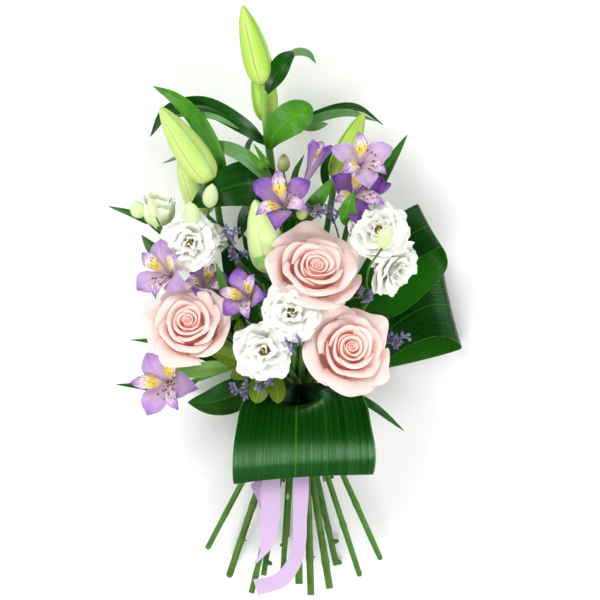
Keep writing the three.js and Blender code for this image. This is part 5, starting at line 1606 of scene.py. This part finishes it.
# %% Folded aspidistra leaves
ASPIDISTRA = {
    "collar": dict(
        left=[(15, -84, 62), (20, -82, 78), (46, -84, 92), (75, -94, 98), (85, -128, 102), (88.5, -148, 99),
              (88.5, -163, 93.5), (86, -173.5, 86), (82, -167, 79), (76, -145, 77), (52, -122, 77),
              (12, -112, 77)],
        right=[(11, -84, 62), (6, -82, 78), (-18, -88, 92), (-42, -97, 98), (-51, -129, 102),
               (-54, -152, 99), (-54.5, -170, 93.5), (-53, -183, 86), (-48, -178, 79), (-44, -150, 77),
               (-28, -126, 77), (2, -112, 77)], camber=-3.0,
        ridges=17, ridge_depth=0.05, skew=0.84, hollow=25),
    "upper": dict(
        left=[(54, -33, 44), (84, -22, 48), (112, -14, 50), (140, 8, 50), (160, 31, 56), (161, 43, 66),
              (154, 54, 77), (138, 46, 80), (123, 39, 80), (112, 34, 79)],
        right=[(50, -33, 44), (62, 8, 46), (82, 46, 47), (104, 73, 47), (122, 90, 50), (132, 96, 61),
               (130, 97, 72), (120, 92, 78), (110, 86, 80), (102, 80, 79)], camber=-1.5,
        ridges=27, ridge_depth=0.16),
    "lower": dict(
        left=[(50, -67, 14), (82, -72, 9), (108, -67, 6), (143, -59, 4), (168, -52, 8), (177, -48, 20),
              (173, -42, 34), (160, -36, 39), (143, -37, 42), (118, -48, 43), (103, -58, 42)],
        right=[(50, -63, 14), (70, -35, 9), (92, -6, 5), (118, 14, 2), (146, 27, 2), (158, 31, 12),
               (156, 33, 24), (146, 30, 31), (130, 22, 36), (113, 9, 40), (99, -4, 41)], camber=-1.5,
        ridges=27, ridge_depth=0.12),
    "back": dict(
        left=[(6, -66, 9), (-8, -50, 5), (-28, -30, 0.6), (-36, 10, 0.6), (-34, 40, 0.6), (-25, 70, 0.6),
              (-10, 96, 0.6), (0, 112, 0.6)],
        right=[(10, -66, 9), (24, -50, 5), (42, -30, 0.6), (46, 10, 0.6), (42, 40, 0.6), (30, 70, 0.6),
               (14, 96, 0.6), (4, 112, 0.6)], camber=0.0),
}


def strip(left, right, columns, rows, thickness, camber=0.0, ridges=0, ridge_depth=0.0, skew=1.0,
          hollow=0.0, floor=0.0):
    """A sheet between two edge curves, bulged by camber and ridged along, nowhere lower than floor.

    skew moves its middle line towards the left edge where it is above 1. hollow sinks its middle
    downwards and towards the cut ends of the stems, just after its root, where the leaf bends over."""
    first, second = spline(left), spline(right)

    def at(u, v):
        a, b = first(v), second(v)
        up = unit(np.cross(b - a, heading(first, v) + heading(second, v)))
        bulge = camber * (1 - u**2) * np.sin(math.pi * v) + ridge_depth * np.cos(ridges * math.pi * u)
        place = a + (b - a) * (((u + 1) / 2) ** skew)[..., None] + up * bulge[..., None]
        near_root = np.exp(-(((v - 0.18) / 0.09) ** 2))
        sunk = hollow * (1 - u**2) * np.exp(-((u / 0.5) ** 2)) * near_root
        place = place - sunk[..., None] * np.array([0, 1, 0.4])
        place[..., 2] = np.maximum(place[..., 2], floor)
        return place

    return blade(at, columns, rows, thickness, edge=0.6)


for key, sheet in ASPIDISTRA.items():
    name = "aspidistra_" + key
    piece = Piece(name, "aspidistra_leaf")
    piece.add(main_stem(name), "stem", cap="pith")
    finish = "matt_leaf" if key == "back" else "aspidistra"
    made = strip(**sheet, columns=96, rows=110, thickness=1.0, floor=0.6)
    piece.add(made, finish, tone=float(key == "collar"))
    piece.make()
print("aspidistra leaves", len(ASPIDISTRA))

# %% [markdown]
# ## Sea lavender
# Hundreds of tiny florets sit along thin branching twigs. The twigs are tubes. The florets repeat
# along a path, which is what Geometry Nodes is for: the tree below sets points along the flowering
# ends at a given spacing, puts a copy of one small floret on each with a seeded random turn and
# size, and ends in plain geometry.

# %% Sea lavender: the twigs' routes
SPRAYS = {
    "limonium_right": [
        [on_stem("limonium_right", -4), (53, 36, 82), (52, 62, 82), (47, 80, 92), (45, 92, 112)],
        [(47, 79, 92), (38, 87, 98), (31, 92, 108), (27, 90, 122)],
        [(53, 36, 82), (65, 50, 90), (69, 60, 103), (70, 66, 116)],
        [on_stem("limonium_right", -8), (64, 2, 88), (74, 4, 100), (77, 6, 112)],
        [on_stem("limonium_right", -50), (60, -53, 73), (100, -42, 74), (116, -37, 78)],
    ],
    "limonium_left": [
        [on_stem("limonium_left", 12), (-40, 31, 72), (-48, 42, 86), (-50, 50, 97)],
        [(-40, 31, 72), (-52, 50, 85), (-55, 60, 97), (-57, 68, 108)],
    ],
    "limonium_front": [
        [on_stem("limonium_front", -70), (-4, -62, 94), (8, -47, 122), (6, -41, 150)],
        [on_stem("limonium_front", -68), (-22, -84, 94), (-24, -88, 110), (-23, -82, 126)],
        [on_stem("limonium_front", -68), (-30, -88, 92), (-40, -91, 98), (-49, -88, 104)],
    ],
}


def draws(seed):
    """The fixed sequence of numbers from 0 to 1 that the solids' twigs were drawn with."""
    state = seed
    while True:
        state = (state * 16807) % 2147483647
        yield state / 2147483647


number = draws(11)


def mixed_point(a, b, t, wander):
    return [mix(x, y, t) + wander * (2 * next(number) - 1) for x, y in zip(a, b)]


def flowering_twigs(root, centre, count=3):
    """The lines of the short twigs that carry the florets, round the end of a branch."""
    lines = []
    for k in range(count):
        turn = 2 * math.pi * (k + 0.5 * next(number)) / count
        across, up = 8 * math.cos(turn), 7 * math.sin(turn)
        tip = (centre[0] + across, centre[1] + up, centre[2] + 4 * next(number))
        start = mixed_point(root, centre, -0.1, 0)
        lines.append([start, mixed_point(start, tip, 0.5, 1.5), tip])
    return lines


def side_twigs(line, count=4):
    """Still shorter twigs that stand out from a flowering one, to either side in turn."""
    curve, lines = spline(line), []
    for k in range(count):
        at = 0.45 + 0.5 * k / count
        start, ahead = curve(at), heading(curve, at)
        across = unit(np.cross(ahead, (0.2, 0.3, 1))) * (1 if k % 2 else -1)
        reach = across * 5.5 + ahead * 3.5 + np.array([0, 0, random_state.uniform(-1, 3)])
        half_way = start + 0.5 * reach + (0, 0, 0.8)
        lines.append([start, half_way, start + reach * random_state.uniform(0.7, 1.1)])
    return lines


print("branches", {name: len(paths) for name, paths in SPRAYS.items()})


# %% Sea lavender: one floret
def floret_mesh():
    """A beige calyx with five blue-violet petals, 1 unit across, with few faces."""
    points, faces, depth = [], [], []
    for radius, height, value in ((0.1, -0.55, 0.0), (0.3, 0.05, 0.2)):
        for k in range(5):
            angle = 2 * math.pi * k / 5
            points.append((radius * math.cos(angle), radius * math.sin(angle), height))
            depth.append(value)
    faces.append((4, 3, 2, 1, 0))
    faces.append((5, 6, 7, 8, 9))
    for k in range(5):
        after = (k + 1) % 5
        faces.append((k, after, 5 + after, 5 + k))
    for k in range(5):
        out, side = outward(2 * math.pi * (k + 0.5) / 5)
        first = len(points)
        for distance, width, height in ((0.15, 0.1, 0.02), (0.42, 0.2, 0.16), (0.62, 0.05, 0.1)):
            for sign in (-1, 1):
                for lift in (0.03, -0.03):
                    level = np.array([0, 0, height + lift])
                    points.append(tuple(out * distance + side * sign * width + level))
                    depth.append(1.0)
        ring = [first, first + 2, first + 3, first + 1]
        faces.append(tuple(ring))
        for step in (0, 4):
            for here, there in zip(ring, ring[1:] + ring[:1]):
                faces.append((here + step, here + step + 4, there + step + 4, there + step))
        faces.append(tuple(index + 8 for index in reversed(ring)))
    mesh = bpy.data.meshes.new("floret")
    mesh.from_pydata(points, [], faces)
    mesh.attributes.new("depth", "FLOAT", "POINT").data.foreach_set("value", depth)
    return mesh


floret = bpy.data.objects.new("floret_pattern", floret_mesh())
scene.collection.objects.link(floret)
print("a floret's faces", len(floret.data.polygons))


# %% Sea lavender: the Geometry Nodes tree
def floret_tree(floret):
    """Copies of a floret along curves. Its inputs are the spacing, the size, the seed and the finish."""
    tree = bpy.data.node_groups.new("florets along twigs", "GeometryNodeTree")
    sockets = {}
    for name, kind, value in (
        ("Twigs", "NodeSocketGeometry", None), ("Spacing", "NodeSocketFloat", 1.5 * MM),
        ("Floret size", "NodeSocketFloat", 3 * MM), ("Seed", "NodeSocketInt", 1),
        ("Finish", "NodeSocketMaterial", None),
    ):
        sockets[name] = tree.interface.new_socket(name, in_out="INPUT", socket_type=kind)
        if value is not None:
            sockets[name].default_value = value
    tree.interface.new_socket("Florets", in_out="OUTPUT", socket_type="NodeSocketGeometry")

    def step(kind, inputs, **settings):
        return put(tree, kind, inputs, **settings).outputs

    given = tree.nodes.new("NodeGroupInput").outputs
    curves = step("GeometryNodeMeshToCurve", {"Mesh": given["Twigs"]})["Curve"]
    spaced = step("GeometryNodeResampleCurve", {"Curve": curves, "Length": given["Spacing"]},
                  mode="LENGTH")
    points = step("GeometryNodeCurveToPoints", {"Curve": spaced["Curve"]}, mode="EVALUATED")
    about = step("FunctionNodeRandomValue", {0: (-1, -1, -0.2), 1: (1, 1, 1.4), "Seed": given["Seed"]},
                 data_type="FLOAT_VECTOR")
    turned_out = step("FunctionNodeAlignRotationToVector", {"Vector": about[0]}, axis="Z")
    swell = step("FunctionNodeRandomValue", {2: 0.7, 3: 1.2, "Seed": given["Seed"]}, data_type="FLOAT")
    size = step("ShaderNodeMath", {0: swell[1], 1: given["Floret size"]}, operation="MULTIPLY")
    shape = step("GeometryNodeObjectInfo", {"Object": floret})
    copies = step("GeometryNodeInstanceOnPoints", {
        "Points": points["Points"], "Instance": shape["Geometry"],
        "Rotation": turned_out["Rotation"], "Scale": size[0]})
    tones = step("FunctionNodeRandomValue", {2: 0.0, 3: 1.0, "Seed": given["Seed"]}, data_type="FLOAT")
    toned = step("GeometryNodeStoreNamedAttribute", {
        "Geometry": copies["Instances"], "Name": "tone", "Value": tones[1]}, domain="INSTANCE")
    real = step("GeometryNodeRealizeInstances", {"Geometry": toned["Geometry"]})
    finished = step("GeometryNodeSetMaterial", {"Geometry": real["Geometry"], "Material": given["Finish"]})
    out = tree.nodes.new("NodeGroupOutput")
    tree.links.new(finished["Geometry"], out.inputs["Florets"])
    return tree, sockets


FLORET_SPACING, FLORET_SIZE, FLOWERING_FROM = 1.15 * MM, 2.7 * MM, 0.3
tree, sockets = floret_tree(floret)


def flowered(name, lines, seed):
    """The florets along lines, as a plain mesh."""
    points, edges = [], []
    for line in lines:
        curve = spline(line)(np.linspace(FLOWERING_FROM, 1, 9))
        edges += [(len(points) + k, len(points) + k + 1) for k in range(len(curve) - 1)]
        points += [tuple((place + HOME) * MM) for place in curve]
    mesh = bpy.data.meshes.new(name + "_lines")
    mesh.from_pydata(points, edges, [])
    carrier = bpy.data.objects.new(name + "_lines", mesh)
    scene.collection.objects.link(carrier)
    grow = carrier.modifiers.new("florets", "NODES")
    grow.node_group = tree
    values = {"Spacing": FLORET_SPACING, "Floret size": FLORET_SIZE, "Seed": seed,
              "Finish": FINISHES["floret"]}
    for key, value in values.items():
        grow[sockets[key].identifier] = value
    evaluated = carrier.evaluated_get(bpy.context.evaluated_depsgraph_get())
    plain = bpy.data.meshes.new_from_object(evaluated)
    plain.name = name
    bpy.data.objects.remove(carrier)
    return bpy.data.objects.new(name, plain)


# %% Sea lavender: the sprays
for seed, (name, paths) in enumerate(SPRAYS.items()):
    piece = Piece(name, "sea_lavender", name + "_twigs")
    piece.add(main_stem(name), "twig", cap="pith")
    flowering = []
    for path in paths:
        piece.add(stalk(path[:-1], 0.9), "twig")
        ends = flowering_twigs(path[-2], path[-1])
        flowering += ends + [twig for line in ends for twig in side_twigs(line)]
    for line in flowering:
        piece.add(tube(spline(line)(np.linspace(0, 1, 8)), np.linspace(0.5, 0.3, 8), 5), "twig")
    piece.make()
    florets = flowered(name + "_florets", flowering, seed)
    settle(florets, name, "sea_lavender")
    print(name, "florets' faces", len(florets.data.polygons))
bpy.data.objects.remove(floret)

# %% [markdown]
# ## Ribbon
# A satin ribbon binds the stems, and its two tails hang out under the collar, one of them with a
# narrow fold near its edge. A cloth simulation would lose the way they lie, so they are sheets
# between two edge curves, like the folded leaves, slanted at their ends. The knot sits out of sight
# behind the collar. Each sheet's flat size, which is what a ribbon is cut by, is printed.

# %% Ribbon
RIBBON_WIDTH, RIBBON_THICKNESS, BAND_RADIUS = 20, 0.4, 24.6
TAILS = {
    "left": dict(
        left=[(-4, -114, 69), (-18, -140, 70), (-26, -165, 70), (-27, -184, 71), (-27, -219, 70),
              (-28, -254, 67), (-34, -263, 66)],
        right=[(6, -110, 69), (0, -138, 70), (-6, -165, 70), (-7, -184, 71), (-8, -222, 70),
               (-14, -246, 67), (-32, -265, 66)],
        fold=([(-27, -180, 71), (-36, -184, 74), (-31, -197, 73), (-26, -212, 70)],
              [(-24, -180, 71), (-27, -192, 71), (-25, -203, 70), (-24, -213, 70)])),
    "right": dict(
        left=[(0, -112, 69), (3, -145, 70), (6, -181, 71), (6, -219, 71), (5, -244, 70), (-1, -262, 70),
              (-13, -275, 68), (-34, -280, 67)],
        right=[(10, -112, 69), (17, -145, 70), (22, -181, 71), (20, -219, 71), (19, -244, 70),
               (14, -265, 70), (-1, -286, 68), (-29, -296, 67)]),
}


def sheet_area(points, quads):
    """Half the area of a thin closed sheet, in square metres."""
    corners = points[quads]
    crossed = np.cross(corners[:, 2] - corners[:, 0], corners[:, 3] - corners[:, 1])
    return np.linalg.norm(crossed, axis=1).sum() / 4 * MM**2


def as_cloth(piece, shapes, length):
    """Prints a piece of ribbon's flat size: its width is its area divided by its length."""
    width = sum(sheet_area(shape.points, shape.quads) for shape in shapes) / length
    print(piece.name, "flat size, m", round(width, 4), "x", round(length, 4))


for key, edges in TAILS.items():
    fold = edges.pop("fold", None)
    parts = [(strip(**edges, columns=14, rows=90, thickness=RIBBON_THICKNESS), 1.0)]
    if fold:
        # The fold gets tone 0, which its finish darkens: it shows the satin's duller back and lies in
        # painted shade under the tail.
        parts.append((strip(*fold, columns=6, rows=24, thickness=RIBBON_THICKNESS), 0.0))
    tail = Piece("ribbon_tails", "ribbon", "ribbon_tail_" + key)
    for shape, tone in parts:
        tail.add(shape, "ribbon", tone=tone)
    tail = tail.make()
    places = np.linspace(0, 1, 90)
    middle = (spline(edges["left"])(places) + spline(edges["right"])(places)) / 2
    length = np.linalg.norm(np.diff(middle, axis=0), axis=1).sum() * MM
    as_cloth(tail, [shape for shape, _ in parts], length)

# %% Ribbon: the band and the knot
BAND_PLEAT = 0.35


def band_surface(u, v):
    """The band round the stems, with the small pleats that a tight pull gives it."""
    turn = 2 * math.pi * v
    pleat = BAND_PLEAT * np.sin(7 * u + 1.3 * np.sin(turn)) * (1 - np.abs(u))
    radius = BAND_RADIUS + 0.5 + pleat
    place = np.stack([radius * np.cos(turn), u * RIBBON_WIDTH / 2, radius * np.sin(turn)], -1)
    return TIE + place


shape = blade(band_surface, 16, 96, RIBBON_THICKNESS, edge=0.8)
band = Piece("ribbon_band", "ribbon", "ribbon_band_cloth").add(shape, "ribbon", tone=1.0).make()
as_cloth(band, [shape], 2 * math.pi * (BAND_RADIUS + 0.5) * MM)

KNOT_CENTRE = np.array([4.0, -116.0, 69.0])
KNOT_LONG, KNOT_DEEP, KNOT_LENGTH = 4.6, 3.6, 13.0


def knot_surface(u, v):
    """The wrap of the knot: a short loop of ribbon, pulled narrow and creased where it turns."""
    turn = 2 * math.pi * v
    crease = 0.45 * np.sin(9 * u + 1.6 * np.sin(turn)) * (1 - 0.6 * np.abs(u))
    swell = 1 - 0.3 * u**2
    long, deep = KNOT_LONG * swell + crease, KNOT_DEEP * swell + crease
    place = np.stack([u * KNOT_LENGTH / 2, long * np.cos(turn), deep * np.sin(turn)], -1)
    return KNOT_CENTRE + place


shape = blade(knot_surface, 20, 40, RIBBON_THICKNESS, edge=0.8)
knot = Piece("ribbon_tails", "ribbon", "ribbon_knot").add(shape, "ribbon", tone=0.8).make()
as_cloth(knot, [shape], 2 * math.pi * math.sqrt((KNOT_LONG**2 + KNOT_DEEP**2) / 2) * MM)

# %% Finish
print("pieces", len(made_pieces), "faces", sum(len(piece.data.polygons) for piece in made_pieces))
